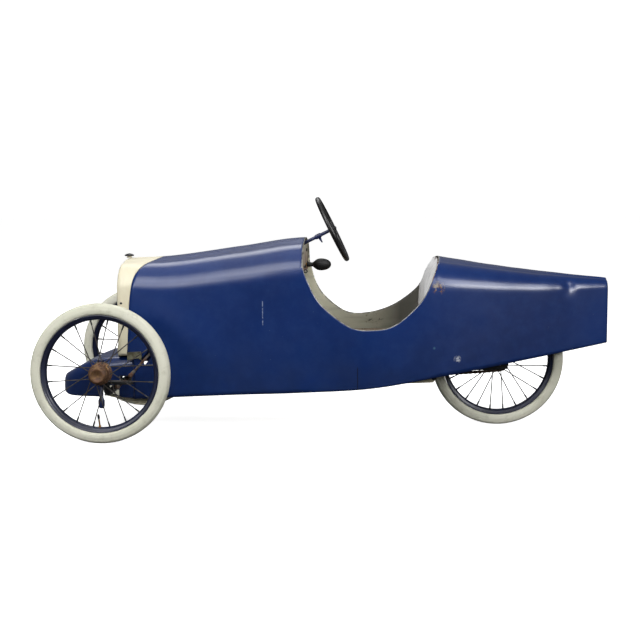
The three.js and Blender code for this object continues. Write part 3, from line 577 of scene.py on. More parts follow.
def tyre_rubber():
    m = Finish("tyre_cream", Specular_IOR_Level=0.3)
    m.colour = m.mix(m.band(m.noise(5, 4, shift=2.0), 0.35, 0.65), srgb(214, 213, 197), srgb(200, 200, 182))
    dirt = m.band(m.noise(46, 6, 0.7), 0.52, 0.72, (0.0, 0.5))
    m.over(dirt, srgb(164, 162, 142))
    specks = m.band(m.noise(210, 4, 0.75), 0.66, 0.72, (0.0, 0.6))
    m.over(specks, srgb(126, 120, 100))
    grain = m.bump(m.noise(420, 4, 0.7), 0.0004, 0.35)
    cracks = m.bump(m.band(m.noise(95, 6, 0.75, distortion=0.6), 0.5, 0.62), 0.0003, 0.3, grain)
    return m.done(m.band(m.noise(30, 3), 0.3, 0.7, (0.62, 0.82)), None, cracks)


def shaded(tone, share):
    return tuple(min(1.0, v * share) for v in tone[:3]) + (1.0,)


def rusty_metal(name, bright, rust, amount, rough=(0.35, 0.7), metal=1.0):
    m = Finish(name)
    patches = m.band(m.noise(48, 6, 0.7), 0.62 - amount * 0.35, 0.74 - amount * 0.35)
    flecks = m.band(m.noise(260, 4, 0.7), 0.55, 0.7, (0.0, 0.6))
    m.colour = m.mix(flecks, bright, shaded(bright, 0.55))
    m.over(patches, m.mix(m.band(m.noise(150, 4), 0.35, 0.65), rust, shaded(rust, 0.5)))
    grain = m.bump(m.noise(330, 4, 0.7), 0.0004, 0.3)
    shine = m.band(patches, 0.0, 1.0, (metal, metal * 0.25))
    return m.done(m.band(patches, 0.0, 1.0, rough), shine, m.bump(patches, 0.0003, 0.3, grain))


def black_finish(name, tone, rough, bump=0.1, scale=300):
    m = Finish(name, Specular_IOR_Level=0.45)
    m.colour = m.mix(m.band(m.noise(40, 5, 0.65), 0.45, 0.72, (0.0, 0.6)), tone, shaded(tone, 2.1))
    m.over(m.band(m.noise(190, 4, 0.7), 0.68, 0.72, (0.0, 0.7)), srgb(92, 84, 76))
    grain = m.bump(m.noise(scale, 4), 0.0005, bump)
    return m.done(m.band(m.noise(32, 4), 0.3, 0.7, rough), None, grain)


def bare_sheet():
    m = Finish("bare_sheet")
    streaks = m.noise(30, 7, 0.78, (0.6, 3.0, 0.5), distortion=1.4)
    m.colour = m.mix(m.band(streaks, 0.34, 0.62), srgb(252, 252, 252), srgb(212, 213, 214))
    dark = m.band(m.noise(60, 5, 0.7, (1, 2.4, 0.6)), 0.62, 0.69, (0.0, 0.8))
    m.over(dark, srgb(78, 76, 72))
    border = m.both(m.attribute("edge_wear_and_highlight"), m.band(m.noise(85, 5, 0.7), 0.42, 0.52))
    tones = m.mix(m.band(m.noise(50, 3), 0.4, 0.6), srgb(38, 34, 30), srgb(118, 66, 30))
    m.over(border, tones)
    metal = m.band(m.math("MAXIMUM", dark, border), 0.0, 1.0, (0.2, 0.05))
    creases = m.bump(streaks, 0.006, 0.6)
    return m.done(m.band(streaks, 0.3, 0.7, (0.34, 0.6)), metal, creases)


def seat_wood():
    m = Finish("seat_wood", Coat_Weight=0.1, Coat_Roughness=0.35)
    grain = m.noise(10, 7, 0.7, (7, 0.55, 7), distortion=0.5)
    m.colour = m.mix(m.band(grain, 0.35, 0.65), srgb(124, 104, 78), srgb(88, 70, 50))
    pores = m.band(m.noise(60, 4, 0.7, (8, 0.6, 8)), 0.58, 0.66, (0.0, 0.7))
    m.over(pores, srgb(54, 34, 20))
    dirt = m.band(m.noise(7, 4), 0.5, 0.75, (0.0, 0.5))
    m.over(dirt, srgb(70, 58, 46))
    return m.done(m.band(grain, 0.3, 0.7, (0.5, 0.72)), None, m.bump(pores, -0.0005, 0.5))


def floor_finish():
    m = Finish("floor_pale", Emission_Color=(1, 1, 1, 1), Emission_Strength=0.86)
    m.colour = m.mix(m.band(m.noise(1.2, 3), 0.3, 0.7), (0.93, 0.93, 0.93, 1), (0.90, 0.90, 0.90, 1))
    return m.done(m.band(m.noise(3, 2), 0.3, 0.7, (0.85, 0.95)))


def backdrop_finish():
    white = {"Base_Color": (0, 0, 0, 1), "Emission_Color": (1, 1, 1, 1), "Emission_Strength": 1.1}
    return Finish("backdrop_pale", **white).material


BLUE = body_blue()
WHEEL_BLUE = plain_blue("wheel_blue", srgb(13, 17, 38), srgb(22, 28, 54), (0.36, 0.5))
PIN_BLUE = plain_blue("pin_blue", srgb(12, 24, 60), srgb(20, 34, 78))
CREAM = cream_paint("shell_cream", srgb(226, 220, 196), srgb(214, 206, 178), 0.18, 0.12)
FRAME_CREAM = cream_paint("frame_cream", srgb(214, 208, 182), srgb(186, 178, 150), 0.5, 0.8)
INSIDE = inside_cream()
DASH = dash_cream()
TYRE = tyre_rubber()
STEEL = rusty_metal("worn_steel", srgb(128, 122, 112), srgb(96, 62, 40), 0.55)
SPOKE_STEEL = rusty_metal("spoke_steel", srgb(58, 54, 52), srgb(48, 40, 34), 0.6, (0.5, 0.75), 0.15)
CHAIN_STEEL = rusty_metal("chain_steel", srgb(70, 62, 54), srgb(72, 48, 32), 0.6, (0.45, 0.75), 0.7)
BRONZE = rusty_metal("hub_bronze", srgb(120, 92, 62), srgb(92, 60, 36), 0.7, (0.38, 0.66), 0.85)
BRASS = rusty_metal("brass", srgb(190, 146, 84), srgb(128, 84, 44), 0.35, (0.3, 0.5))
OLIVE = rusty_metal("bracket_olive", srgb(112, 110, 88), srgb(86, 80, 58), 0.4, (0.55, 0.8), 0.2)
BLACK = black_finish("black_paint", srgb(16, 17, 19), (0.38, 0.58))
WHEEL_BLACK = black_finish("steering_black", srgb(13, 13, 14), (0.3, 0.44), 0.08)
RUBBER = black_finish("black_rubber", srgb(15, 15, 15), (0.5, 0.7), 0.35, 420)
SHEET_METAL = bare_sheet()
WOOD = seat_wood()
GRILLE = black_finish("grille_dark", srgb(44, 46, 50), (0.45, 0.65))
# The slot name for each finish
SLOTS = {
    "body_paint": (BLUE, PIN_BLUE), "wheel_paint": (WHEEL_BLUE,), "cream_paint": (CREAM, FRAME_CREAM, DASH),
    "worn_steel": (STEEL, SPOKE_STEEL, CHAIN_STEEL, OLIVE), "bronze": (BRONZE,), "brass": (BRASS,),
    "black_paint": (BLACK,), "steering_black": (WHEEL_BLACK,), "black_rubber": (RUBBER,), "tyre": (TYRE,),
    "bare_sheet": (SHEET_METAL,), "wood": (WOOD,), "grille": (GRILLE,),
}


# ---- body ----

LOWER_ROWS, UPPER_ROWS = 30, 24
HOOD_COLUMNS, COCKPIT_COLUMNS, TAIL_COLUMNS = 60, 64, 64


def rows_between(split):
    lower = [split * k / LOWER_ROWS for k in range(LOWER_ROWS)]
    return lower + [split + (1 - split) * k / UPPER_ROWS for k in range(UPPER_ROWS + 1)]


def sheet_wave(p):
    """The slight unevenness of hand-beaten sheet, plus the one clear dent in the left tail shoulder."""
    out = 0.7 * noise.noise(p * 0.006) + 0.25 * noise.noise(p * 0.021 + Vector((7, 3, 1)))
    if p.x > 300:
        out += 1.1 * noise.noise(Vector((p.x * 0.018, p.y * 0.01, 4.2))) * min(1.0, (p.x - 300) / 60)
    dent = (p - Vector((641, -64, 388))).length
    out -= 7.0 * exp(-((dent / 17) ** 2))
    crease = (p - Vector((628, -72, 384))).length
    return out + 2.4 * exp(-((crease / 12) ** 2))


def skin_point(x, s, side):
    p = body_point(x, s, side)
    width, _, top, shoulder, _, reach = body_section(x)
    centre = Vector((x, side * max(0.0, width - reach), min(p.z, top - shoulder)))
    away = (p - centre)
    away.x = 0
    if away.length < 1e-6:
        return p
    return p + away.normalized() * min(0.4, sheet_wave(p) - 0.5)


def edge_columns(edge, end, s, side, columns):
    """Points of one row from a shaped edge to a straight one; the edge gives x for a height."""
    x = end
    for _ in range(6):
        x = edge(body_point(x, s, side).z)
    return [skin_point(x + (end - x) * k / columns, s, side) for k in range(columns + 1)]


def body_skin():
    shape = Shape()
    hood_share = {side: body_share(HOOD_END_X, RIM[side][0][1]) for side in (-1, 1)}
    tail_share = {side: body_share(DECK_X, RIM[side][-1][1]) for side in (-1, 1)}

    def deck_edge(z):
        return DECK_X + max(0.0, z - 452) * 13 / 22

    def seam_edge(z):
        return read_curve(SEAM_CURVE, max(z, 200), 1)

    for side in (-1, 1):
        shares = rows_between(hood_share[side])
        hood = [edge_columns(seam_edge, HOOD_END_X, s, side, HOOD_COLUMNS) for s in shares]
        shares = rows_between(tail_share[side])
        tail = [edge_columns(deck_edge, TAIL_X - TAIL_ROUND, s, side, TAIL_COLUMNS) for s in shares]
        for row, s in zip(tail, shares):
            for turn in (30, 60, 90):
                angle = radians(turn)
                x = TAIL_X - TAIL_ROUND * (1 - sin(angle))
                p = body_point(min(x, TAIL_X - 0.01), s, side, TAIL_ROUND * (1 - cos(angle)))
                p.x = x
                row.append(p)
        shape.side_skin(hood, side)
        shape.side_skin(tail, side)
        side_rows = []
        for k in range(LOWER_ROWS + 1):
            row = []
            for c in range(COCKPIT_COLUMNS + 1):
                x = HOOD_END_X + (DECK_X - HOOD_END_X) * c / COCKPIT_COLUMNS
                split = body_share(x, read_curve(RIM_CURVE[side], x))
                row.append(skin_point(x, split * k / LOWER_ROWS, side))
            side_rows.append(row)
        shape.side_skin(side_rows, side)
    piece = shape.build("body_skin", [BLUE, INSIDE], "body_shell", thickness=SHEET, sharp=50)
    window(piece, NOSE_OPENING, NOSE_OPENING_SIZE)
    window(piece, DRAG_SLOT, DRAG_SLOT_SIZE, DRAG_SLOT_TILT)
    # The cockpit rim gets the full value, which the paint shows as worn metal and a painted highlight.
    mark_edge_wear_and_highlight(piece, lambda p: 1.0 if HOOD_END_X - 7 < p.x < DECK_X + 20 and p.z > 240 else 0.3, 5.0)


def both_halves(points):
    """An outline in Y and Z from its half on one side, which ends on the middle."""
    return points + [(-y, z) for y, z in points[-2::-1]]


def mark_edge_wear_and_highlight(piece, strength, reach):
    """A value on each point for edge wear, which the blue paint also shows as a painted highlight along the
    cockpit rim: strongest at the sheet's open edges, gone a short way in.
    """
    mesh = piece.data
    bm = bmesh.new()
    bm.from_mesh(mesh)
    bm.verts.ensure_lookup_table()
    value = [0.0] * len(bm.verts)
    front = [v for v in bm.verts if any(e.is_boundary for e in v.link_edges)]
    gap = {v.index: 0.0 for v in front}
    while front:
        following = []
        for v in front:
            for e in v.link_edges:
                other = e.other_vert(v)
                far = gap[v.index] + e.calc_length() / MM
                if far < min(reach, gap.get(other.index, reach)):
                    gap[other.index] = far
                    following.append(other)
        front = following
    for index, far in gap.items():
        value[index] = (1 - far / reach) * strength(bm.verts[index].co / MM)
    bm.free()
    mesh.attributes.new("edge_wear_and_highlight", "FLOAT", "POINT").data.foreach_set("value", value)


body_skin()


def tail_plate():
    half = [body_point(TAIL_X - 0.01, k / 40, 1, TAIL_ROUND) for k in range(41)]
    outline = both_halves([(p.y, p.z) for p in half])
    Shape().prism(outline, TAIL_X - 2.2, TAIL_X - 0.2, "YZ").build("tail_plate", BLUE)


tail_plate()


def shell_row(s, side, columns=22):
    """One row of the cream shell: behind its lip, round its front edge and back to the seam."""
    row = []
    for inset, x in ((25, 4.5), (25, 0.8), (24, 0)):
        row.append(body_point(RADIATOR_X, s, side, inset) + Vector((x, 0, 0)))
    for turn in range(90, -1, -15):
        angle = radians(turn)
        p = body_point(RADIATOR_X, s, side, SHELL_LIP * (1 - cos(angle)))
        p.x = RADIATOR_X + SHELL_LIP * (1 - sin(angle))
        row.append(p)
    end = -500.0
    for _ in range(6):
        end = read_curve(SEAM_CURVE, max(body_point(end, s, side).z, 200), 1) - 0.8
    start = RADIATOR_X + SHELL_LIP
    return row + [body_point(start + (end - start) * k / columns, s, side) for k in range(1, columns + 1)]


def radiator():
    shape = Shape()
    count = 60
    base = body_share(-545, NOSE_TOP_Z + 0.9)
    for side in (-1, 1):
        shape.side_skin([shell_row(base + (1 - base) * k / count, side) for k in range(count + 1)], side)
    sill = ((-557.6, 209.0), (-557.9, 221.0), (-557.6, 233.5), (-553.5, 233.5))
    shape.grid([[(x, y, z) for x, z in sill] for y in range(141, -142, -6)])
    shape.build("radiator_surround", [CREAM, INSIDE], "radiator_shell", thickness=SHEET, sharp=50)


radiator()


def radiator_core():
    shape = Shape()
    _, width, _, ridge, shoulder = BODY[0]

    def outline(half, low, high, corner):
        points = [(-half, low), (half, low)]
        for turn in range(0, 91, 10):
            a = radians(turn)
            points.append((half - corner * (1 - cos(a)), high - corner * (1 - sin(a))))
        return points + [(-y, z) for y, z in points[:1:-1]]

    shape.prism(outline(width - 14, NOSE_TOP_Z + 12, ridge - 20, shoulder * 0.8), -553.4, -552.5, "YZ")
    for k in range(-24, 25):
        y = k * 5.0
        corner = max(0.0, abs(y) - (width - 20 - 50))
        high = ridge - 32 - (50 - sqrt(max(0.0, 2500 - corner**2)))
        shape.box((-555.2, y, (NOSE_TOP_Z + 26 + high) / 2), (3.4, 1.1, high - NOSE_TOP_Z - 26))
    for z in range(246, 420, 12):
        shape.box((-554.2, 0, z), (1.4, 2 * (width - 30), 1.6))
    shape.build("radiator_core", GRILLE, "radiator_grille")


radiator_core()


def filler_cap():
    base = BODY[0][3] + 0.6
    at = placed((-552, 0, base), 90, "X")
    neck = Shape().lathe([(0, 0.0), (7.6, 0.0), (7.6, 1.0), (6.6, 1.6), (6.6, 4.6), (0, 4.6)], 40, at)
    neck.build("filler_neck", CREAM)
    profile = [
        (0, 4.4), (10.5, 4.4), (12.6, 5.2), (13, 6.4), (12.4, 7.8), (9.5, 9.6), (5.5, 11.2), (2, 11.9),
        (0, 12),
    ]
    cap = Shape().lathe(profile, 48, at)
    for k in range(12):
        cap.tube([(12.6, 4.9, 0), (12.2, 8.0, 0)], 0.7, 8, 0, at @ turned(30 * k, "Y"))
    cap.build("filler_cap", BLACK, "radiator_cap")


filler_cap()


def nose_fairing():
    shape = Shape()
    columns = [-735 + 220 * (k / 54) ** 1.35 for k in range(55)]
    rows = []
    for x in columns:
        _, w, low, top = station(NOSE, x)
        edge = min(NOSE_EDGE, w * 0.6, (top - low) * 0.6)
        row = []
        for j in range(13):
            row.append((w, low + (top - edge - low) * j / 12))
        for j in range(1, 9):
            a = radians(90 * j / 8)
            row.append((w - edge * (1 - cos(a)), top - edge * (1 - sin(a))))
        for j in range(1, 13):
            t = 1 - j / 12
            row.append(((w - edge) * t, top + 1.2 * (1 - t * t)))
        rows.append([Vector((x, y, min(z, NOSE_TOP_Z))) for y, z in both_halves(row)])
    front = []
    for shrink, x in ((0.97, -738.2), (0.8, -738), (0.55, -737.4), (0.25, -736.4)):
        ring = [p.lerp(Vector((x, 0, 123)), shrink) for p in rows[0]]
        for p in ring:
            p.x = x
        front.append(ring)
    shape.grid(front + rows)
    piece = shape.build("nose_fairing", [BLUE, BLUE], "nose_cowl", thickness=SHEET * 0.9, sharp=50)
    window(piece, (KINGPIN_X, 0, 90), (52, 400, 76))
    window(piece, (TRACK_ROD_X, 0, ARM_Z - 6), (26, 400, 18))
    mark_edge_wear_and_highlight(piece, lambda p: 0.8, 6.0)


nose_fairing()


def dash():
    x0 = HOOD_END_X - 9
    low = 424
    base = body_share(x0, low)
    left = [body_point(x0, base + (1 - base) * k / 40, -1, 2 * SHEET) for k in range(41)]
    outline = both_halves([(p.y, p.z) for p in left])
    Shape().prism(outline, x0, x0 + 4, "YZ").build("dash_panel", DASH, "dashboard", bevel=0.8)
    bolts = Shape()
    for y, z in ((-150, 440), (-95, 478), (0, 500), (95, 478), (150, 440), (-30, 436), (30, 436)):
        at = placed((x0 + 1.4, y, z), -90, "Z")
        bolts.lathe([(0, 5.8), (3.2, 5.4), (4.6, 4.0), (4.8, 2.6), (0, 2.6)], 20, at)
    bolts.build("dash_screws", BLACK)
    eye = Shape()
    at = placed((-54.5, -188.0, 434.5), 12, "Z")
    ring = [(4.2 + 1.5 * cos(a), 1.5 * sin(a)) for a in [tau * k / 12 for k in range(12)]]
    eye.lathe(ring, 28, at, closed=True)
    eye.tube([at @ Vector((-6, 0, 0)), at @ Vector((-16, 0.4, 0))], 1.5, 12)
    eye.build("rim_eyelet", BLACK)


dash()


def horn():
    at = placed((HOOD_END_X - 2, HORN_Y, HORN_Z), -90, "Z")
    bulb = [
        (0, 0), (6, 0), (7.2, 5), (6.2, 11), (6, 16), (8.6, 20), (12, 24), (15, 29), (16.5, 34), (17, 40),
        (16.6, 46), (14.9, 54), (12, 60.5), (8, 65), (4, 67.4), (0, 68),
    ]
    Shape().lathe(smooth_path(bulb, 5), 48, at).build("horn_bulb_round", RUBBER, "horn_bulb")
    at = placed((HOOD_END_X - 2.6, HORN_Y, HORN_Z), 90, "Z")
    outer = smooth_path([(5.5, 0), (5.5, 30), (9, 60), (16, 90), (30, 112)], 8)
    inner = smooth_path([(28.4, 112), (14.4, 90), (7.4, 60), (0, 45)], 8)
    Shape().lathe([(0, 0)] + outer + inner, 48, at).build("horn_bell", BRASS, "horn_trumpet")


horn()


def seat_back():
    sheet, top = 1.6, 460.6
    rear_rim = {side: [p for p in RIM_CURVE[side] if p.x > 130] for side in (-1, 1)}
    rows = []
    for x, z in [p for p in smooth_path(SEAT_PROFILE, 8) if p.y < top]:
        half = max(30.0, body_width_at(min(x, 300), z, SHEET + sheet))
        row = []
        for k in range(61):
            y = -half + 2 * half * k / 60
            rim = read_curve(rear_rim[1 if y > 0 else -1], z, 1)
            share = max(0.0, min(1.0, (abs(y) / half - 0.45) / 0.5))
            back = max(0.0, min(rim, 297.0) - x) * share * share * (3 - 2 * share)
            lump = 2.2 * noise.noise(Vector((z * 0.02, y * 0.035, 1.0)))
            lump += 1.4 * noise.noise(Vector((z * 0.06, y * 0.09, 5.0)))
            row.append(Vector((x + back + min(1.2, lump - 0.6), y, z)))
        rows.append(row[::-1])
    piece = Shape().grid(rows).build("seat_back_panel", SHEET_METAL, "seat_back", thickness=sheet, sharp=60)
    mark_edge_wear_and_highlight(piece, lambda p: 1.0, 12.0)


seat_back()


def seat():
    board = Shape()
    for k in range(3):
        board.box((17 + 76 * (k + 0.5), 0, SEAT_Z - 5), (75.3, 356, 10))
    board.build("seat_planks", WOOD, "seat_board", bevel=1.4, segments=3)
    for name, x in (("front", 28), ("rear", 180)):
        foot = rail_bottom(x) + RAIL_HEIGHT + 0.8
        top = SEAT_Z - 10.4
        inner, outer = RAIL_Y - 3, RAIL_Y + 5
        half = [(outer, top), (outer, foot), (inner, foot), (inner, top - 5)]
        strap = Shape().prism([(-y, z) for y, z in half] + half[::-1], x - 10, x + 10, "YZ")
        strap.build(f"seat_strap_{name}", FRAME_CREAM, f"seat_support_{name}", bevel=1.2)
    screws = Shape()
    for x in (28, 180):
        for y in (-120, 120):
            at = placed((x, y, SEAT_Z - 0.1), 90, "X")
            screws.lathe([(0, 1.2), (3, 1.0), (4.6, 0), (0, 0)], 20, at)
    screws.build("seat_screws", STEEL)


seat()


# ---- chassis ----


def rails():
    for name, side in SIDES:
        shape = Shape()
        outline = [(-5, 0), (5, 0), (5, 3), (-1.8, 3), (-1.8, 21), (5, 21), (5, 24), (-5, 24)]
        rows = []
        front, rear = RAIL_ENDS
        for x, low in ((front, 0), (-200, 0), (0, 0), (150, 0), (rear - 12, 0), (rear, 12)):
            rows.append([(x, side * (RAIL_Y - y), rail_bottom(x) + max(z, low)) for y, z in outline])
        shape.grid(rows, round_columns=True)
        shape.add(rows[0], [tuple(range(8))]).add(rows[-1], [tuple(range(8))])
        shape.build(f"rail_{name}", FRAME_CREAM, f"chassis_rail_{name}", bevel=0.8)
        head = placed((281, side * (RAIL_Y + 5), rail_bottom(281) + 13), 90 + 90 * side, "X")
        bolt = Shape().lathe([(0, -3.4), (3.6, -3.2), (4.6, -2.4), (4.6, 0), (0, 0)], 6, head)
        bolt.lathe([(0, -0.8), (6.4, -0.8), (6.4, 0.1), (0, 0.1)], 20, head)
        bolt.build(f"rail_bolt_{name}", BLACK)


rails()


def cross_strip(x):
    return (x, 0, rail_bottom(x) + RAIL_HEIGHT + 2.9), (30, 2 * RAIL_Y + 10, 4)


def leaf_top(x):
    return 86 + 15 * (max(0.0, -x - 490) / 110) ** 2


def springs():
    mount = Shape().box(*cross_strip(SPRING_X))
    for name, side in SIDES:
        y = side * SPRING_Y
        mount.box((SPRING_X, y, 113), (34, 26, 53)).box((SPRING_X, y, 68.2), (34, 34, 4.8))
        for dy in (-14, 14):
            for dx in (-9, 9):
                mount.rod("Z", (SPRING_X + dx, y + dy, 0), 62, 139, 2.6, 12)
                mount.rod("Z", (SPRING_X + dx, y + dy, 0), 62.2, 65.8, 4.8, 6)
        leaves = Shape()
        for k, tip in enumerate((-600, -561, -522)):
            xs = [-452 + (tip + 452) * j / 22 for j in range(23)]
            upper = [(x, leaf_top(x) - 5 * k) for x in xs]
            lower = [(x, z - 4.5) for x, z in upper]
            leaves.prism(upper + lower[::-1], y - 11, y + 11)
        leaves.rod("Y", (-600, y, leaf_top(-600) - 2.2), -11, 11, 3.6, 20)
        leaves.box((-507, y, leaf_top(-507) - 6), (9, 25, 14))
        leaves.build(f"leaf_pack_{name}", FRAME_CREAM, f"leaf_spring_{name}", bevel=0.6)
    mount.build("spring_mount", FRAME_CREAM, "cross_member_front", bevel=1.0)
    Shape().box(*cross_strip(255)).build("rear_strip", FRAME_CREAM, "cross_member_rear", bevel=1.0)


springs()


def axle():
    half = [(-232, 180), (-206, 179), (-184, 134), (-160, 112), (-60, 112)]
    path = smooth_path([(KINGPIN_X, y, z) for y, z in half + [(-y, z) for y, z in half[::-1]]], 8)
    shape = Shape().tube(path, 9, 28)
    for side in (-1, 1):
        eye = placed((KINGPIN_X, side * KINGPIN_Y, 177), 90, "X")
        shape.lathe([(6, -15), (12, -15), (13, -14), (13, 14), (12, 15), (6, 15)], 40, eye, closed=True)
    shape.build("axle_tube", BLACK, "front_axle")
    for name, side in SIDES:
        profile = [
            (0, 83), (4, 83.6), (7, 86), (8.5, 92), (8.5, 104), (7, 108), (5.4, 111), (5.4, 205.5),
            (8.4, 205.7), (9, 206.4), (9, 209.4), (7, 210.8), (0, 211.5),
        ]
        at = placed((KINGPIN_X, side * KINGPIN_Y, 0), 90, "X")
        Shape().lathe(profile, 32, at).build(f"pin_{name}", PIN_BLUE, f"king_pin_{name}")


axle()


def brackets():
    for name, side in SIDES:
        y = side * 160
        outline = [
            (-531, 219), (-512, 219.3), (-494, 221), (-492, 209), (-492.2, 196.4), (-500, 203), (-516, 201),
            (-530, 196),
        ]
        shape = Shape().prism(outline, y - 1.5, y + 1.5)
        shape.prism([(-530, 219), (-494, 220.8), (-492.4, 198), (-497, 217)], y - side * 1.5, y + side * 3.5)
        shape.box((-512, side * 157.3, 212), (14, 3, 8))
        shape.build(f"gusset_{name}", OLIVE, f"body_bracket_{name}", bevel=0.5)


brackets()


def stays():
    outline = [
        (245, 165), (290, 165), (300, 150), (396, 157), (483, 160.5), (483, 193), (440, 200), (245, 184),
    ]
    for name, side in SIDES:
        y = side * (STAY_Y + 2)
        shape = Shape().prism(outline, y - 2, y + 2)
        for x in (262, 278):
            shape.rod("Y", (x, y, 174.5), -4, 4, 4.6, 6)
        shape.build(f"stay_{name}", BLACK, f"rear_stay_{name}", bevel=0.8)
    middle = (REAR_X, 0, AXLE_Z)
    axle_pin = Shape().rod("Y", middle, -70, 70, 5, 24)
    for side in (-1, 1):
        axle_pin.rod("Y", middle, side * 57.5, side * 65, 9, 6)
        axle_pin.rod("Y", middle, side * 57.1, side * 58.3, 10.6, 28)
    axle_pin.build("rear_spindle", STEEL, "rear_axle", bevel=0.5)


stays()


def bearing_frame():
    tube = [(7.6, -32), (15.5, -32), (17, -30.5), (17, 30.5), (15.5, 32), (7.6, 32)]
    shape = Shape().lathe(tube, 48, Matrix.Translation((CRANK_X, 0, CRANK_Z)), closed=True)
    shape.box((CRANK_X, 8, CRANK_Z - 27), (16, 30, 26))

    def low(x):
        return rail_bottom(x) + RAIL_HEIGHT + (5.3 if x < 0 else 3)

    shape.prism([(-464, low(-464)), (72, low(72)), (72, low(72) + 12), (-464, low(-464) + 14)], 5, 25)
    shape.box(*cross_strip(58))
    shape.build("crank_frame", BLACK, "pedal_frame", bevel=1.0)
    x = -406
    eye = on_column(x).z
    foot = rail_bottom(x) + RAIL_HEIGHT + 0.8
    y = RAIL_Y
    right = [
        (0, eye - 32), (12, eye - 30), (y - 9, foot + 14), (y - 5, foot), (y + 5, foot), (y + 5, foot + 14),
        (17, eye + 4), (10, eye + 14),
    ]
    outline = right + [(-a, b) for a, b in right[:0:-1]]
    Shape().prism(outline, x - 2, x + 2, "YZ").build("column_plate", BLACK, "column_bracket", bevel=0.8)


bearing_frame()


def shell_screw():
    for name, side in SIDES:
        at = placed((-546, side * 151.2, 348), 90 + 90 * side, "X")
        screw = Shape().lathe([(0, -1.8), (1.8, -1.6), (3.0, -0.8), (3.4, 0.6), (0, 0.6)], 20, at)
        screw.build(f"shell_screw_{name}", BLACK)


shell_screw()


# ---- steering ----


def column():
    shape = Shape().tube([on_column(COLUMN_FOOT_X), on_column(WHEEL_CENTRE[0] - 1)], 4.7, 28)
    shape.tube([on_column(x) for x in (-38, -36, -24, -22)], [5, 6.6, 6.6, 5], 28)
    p = on_column(-27)
    wing = ((-5, -4), (5, -4), (7, -11), (10, -18.4), (7, -19), (1, -12))
    shape.prism([(p.x + x, p.z + z) for x, z in wing], -1.5, 1.5)
    shape.build("column_bar", PIN_BLUE, "steering_column", "steering", bevel=0.4)


def steering_wheel():
    at = Matrix.Translation(on_column(WHEEL_CENTRE[0])) @ Matrix.Rotation(-COLUMN_TURN, 4, "Y")
    wheel = Shape()
    rim, across = 90.0, 6.9
    section = [(across * sin(tau * j / 20), rim + across * cos(tau * j / 20)) for j in range(20)]
    rows = []
    for k in range(96):
        a = tau * k / 96
        rows.append([(x, r * cos(a), r * sin(a)) for x, r in section])
    wheel.grid(rows, True, True, 0, at)
    for k in range(4):
        outline = [(-7.5, 12), (7.5, 12), (5.6, 50), (8.5, rim - 2), (-8.5, rim - 2), (-5.6, 50)]
        wheel.prism(outline, -2, 2, "YZ", 1, at @ turned(45 + 90 * k, "X"))
    boss = [(0, 6.4), (16, 6), (18.6, 3.6), (20, -3), (19.4, -5), (17, -6.4), (0, -6.4)]
    wheel.lathe(boss, 48, at @ turned(90, "Z"), 1)
    wheel.build("steering_wheel_rim", [WHEEL_BLACK, BLACK], "steering_wheel", "steering")
    nut = Shape().tube([at @ Vector((5.8, 0, 0)), at @ Vector((10, 0, 0))], 8, 6)
    nut.lathe([(0, 12.2), (3.2, 11.6), (4.2, 10.4), (4.2, 8), (0, 8)], 24, at @ turned(-90, "Z"))
    nut.build("wheel_nut", BLACK, body="steering", bevel=0.5)


def linkage():
    """The drop arm on the column's foot, the drag link to the left knuckle and the track rod."""
    foot = on_column(COLUMN_FOOT_X)
    end = Vector((foot.x + DROP_ARM * sin(COLUMN_TURN), 0, foot.z - DROP_ARM * cos(COLUMN_TURN)))
    arm = Shape().tube([on_column(COLUMN_FOOT_X + 3), end], [6, 4.6], 20).ball(end, 6.5)
    arm.tube([on_column(COLUMN_FOOT_X - 6), on_column(COLUMN_FOOT_X + 10)], 10, 28)
    arm.build("pitman_arm", STEEL, "drop_arm", "steering", bevel=0.6)
    near = Vector((DRAG_BALL_X, -KINGPIN_Y, ARM_Z + 19))
    far = end + Vector((0, -13, 0))
    path = [near, near.lerp(far, 0.06), near.lerp(far, 0.1), near.lerp(far, 0.94), far]
    link = Shape().tube(path, [5, 5, 3.5, 3.5, 4.5], 20).ball(near, 6.5)
    link.build("drag_rod", STEEL, "drag_link", "drag_link")
    middle = (TRACK_ROD_X, 0, ARM_Z - 9)
    rod = Shape().rod("Y", middle, -KINGPIN_Y, KINGPIN_Y, 4, 20)
    for side in (-1, 1):
        rod.rod("Z", (TRACK_ROD_X, side * KINGPIN_Y, ARM_Z - 9), -4.4, 4.4, 7, 24)
        rod.rod("Y", middle, side * (KINGPIN_Y - 30), side * (KINGPIN_Y - 16), 6, 6)
    rod.build("tie_rod", STEEL, "track_rod", "track_rod", bevel=0.4)


column()
steering_wheel()
linkage()


def stub(name, side):
    y = side * KINGPIN_Y
    shape = Shape()
    for z in (152, 199):
        shape.rod("Z", (KINGPIN_X, y, z), -6, 6, 13, 36)
        shape.box((KINGPIN_X, y + side * 9, z), (20, 15, 12))
    shape.box((KINGPIN_X + 6, y + side * 17, 175.5), (32, 5, 59))
    shape.rod("Y", (FRONT_X, 0, AXLE_Z), y + side * 18, side * 312, 6, 24)
    reach = DRAG_BALL_X if side < 0 else TRACK_ROD_X
    shape.box(((KINGPIN_X + reach) / 2 + 4, y, ARM_Z), (reach - KINGPIN_X + 4, 12, 8))
    if side < 0:
        shape.rod("Z", (DRAG_BALL_X, y, ARM_Z), 0, 12, 4, 16)
    shape.build(f"knuckle_{name}", BLACK, f"stub_axle_{name}", f"stub_{name}", bevel=1.2)


for name, side in SIDES:
    stub(name, side)


# ---- wheels ----


def mirrored(profile):
    return profile + [(r, -y) for r, y in profile[::-1] if y > 1e-6]


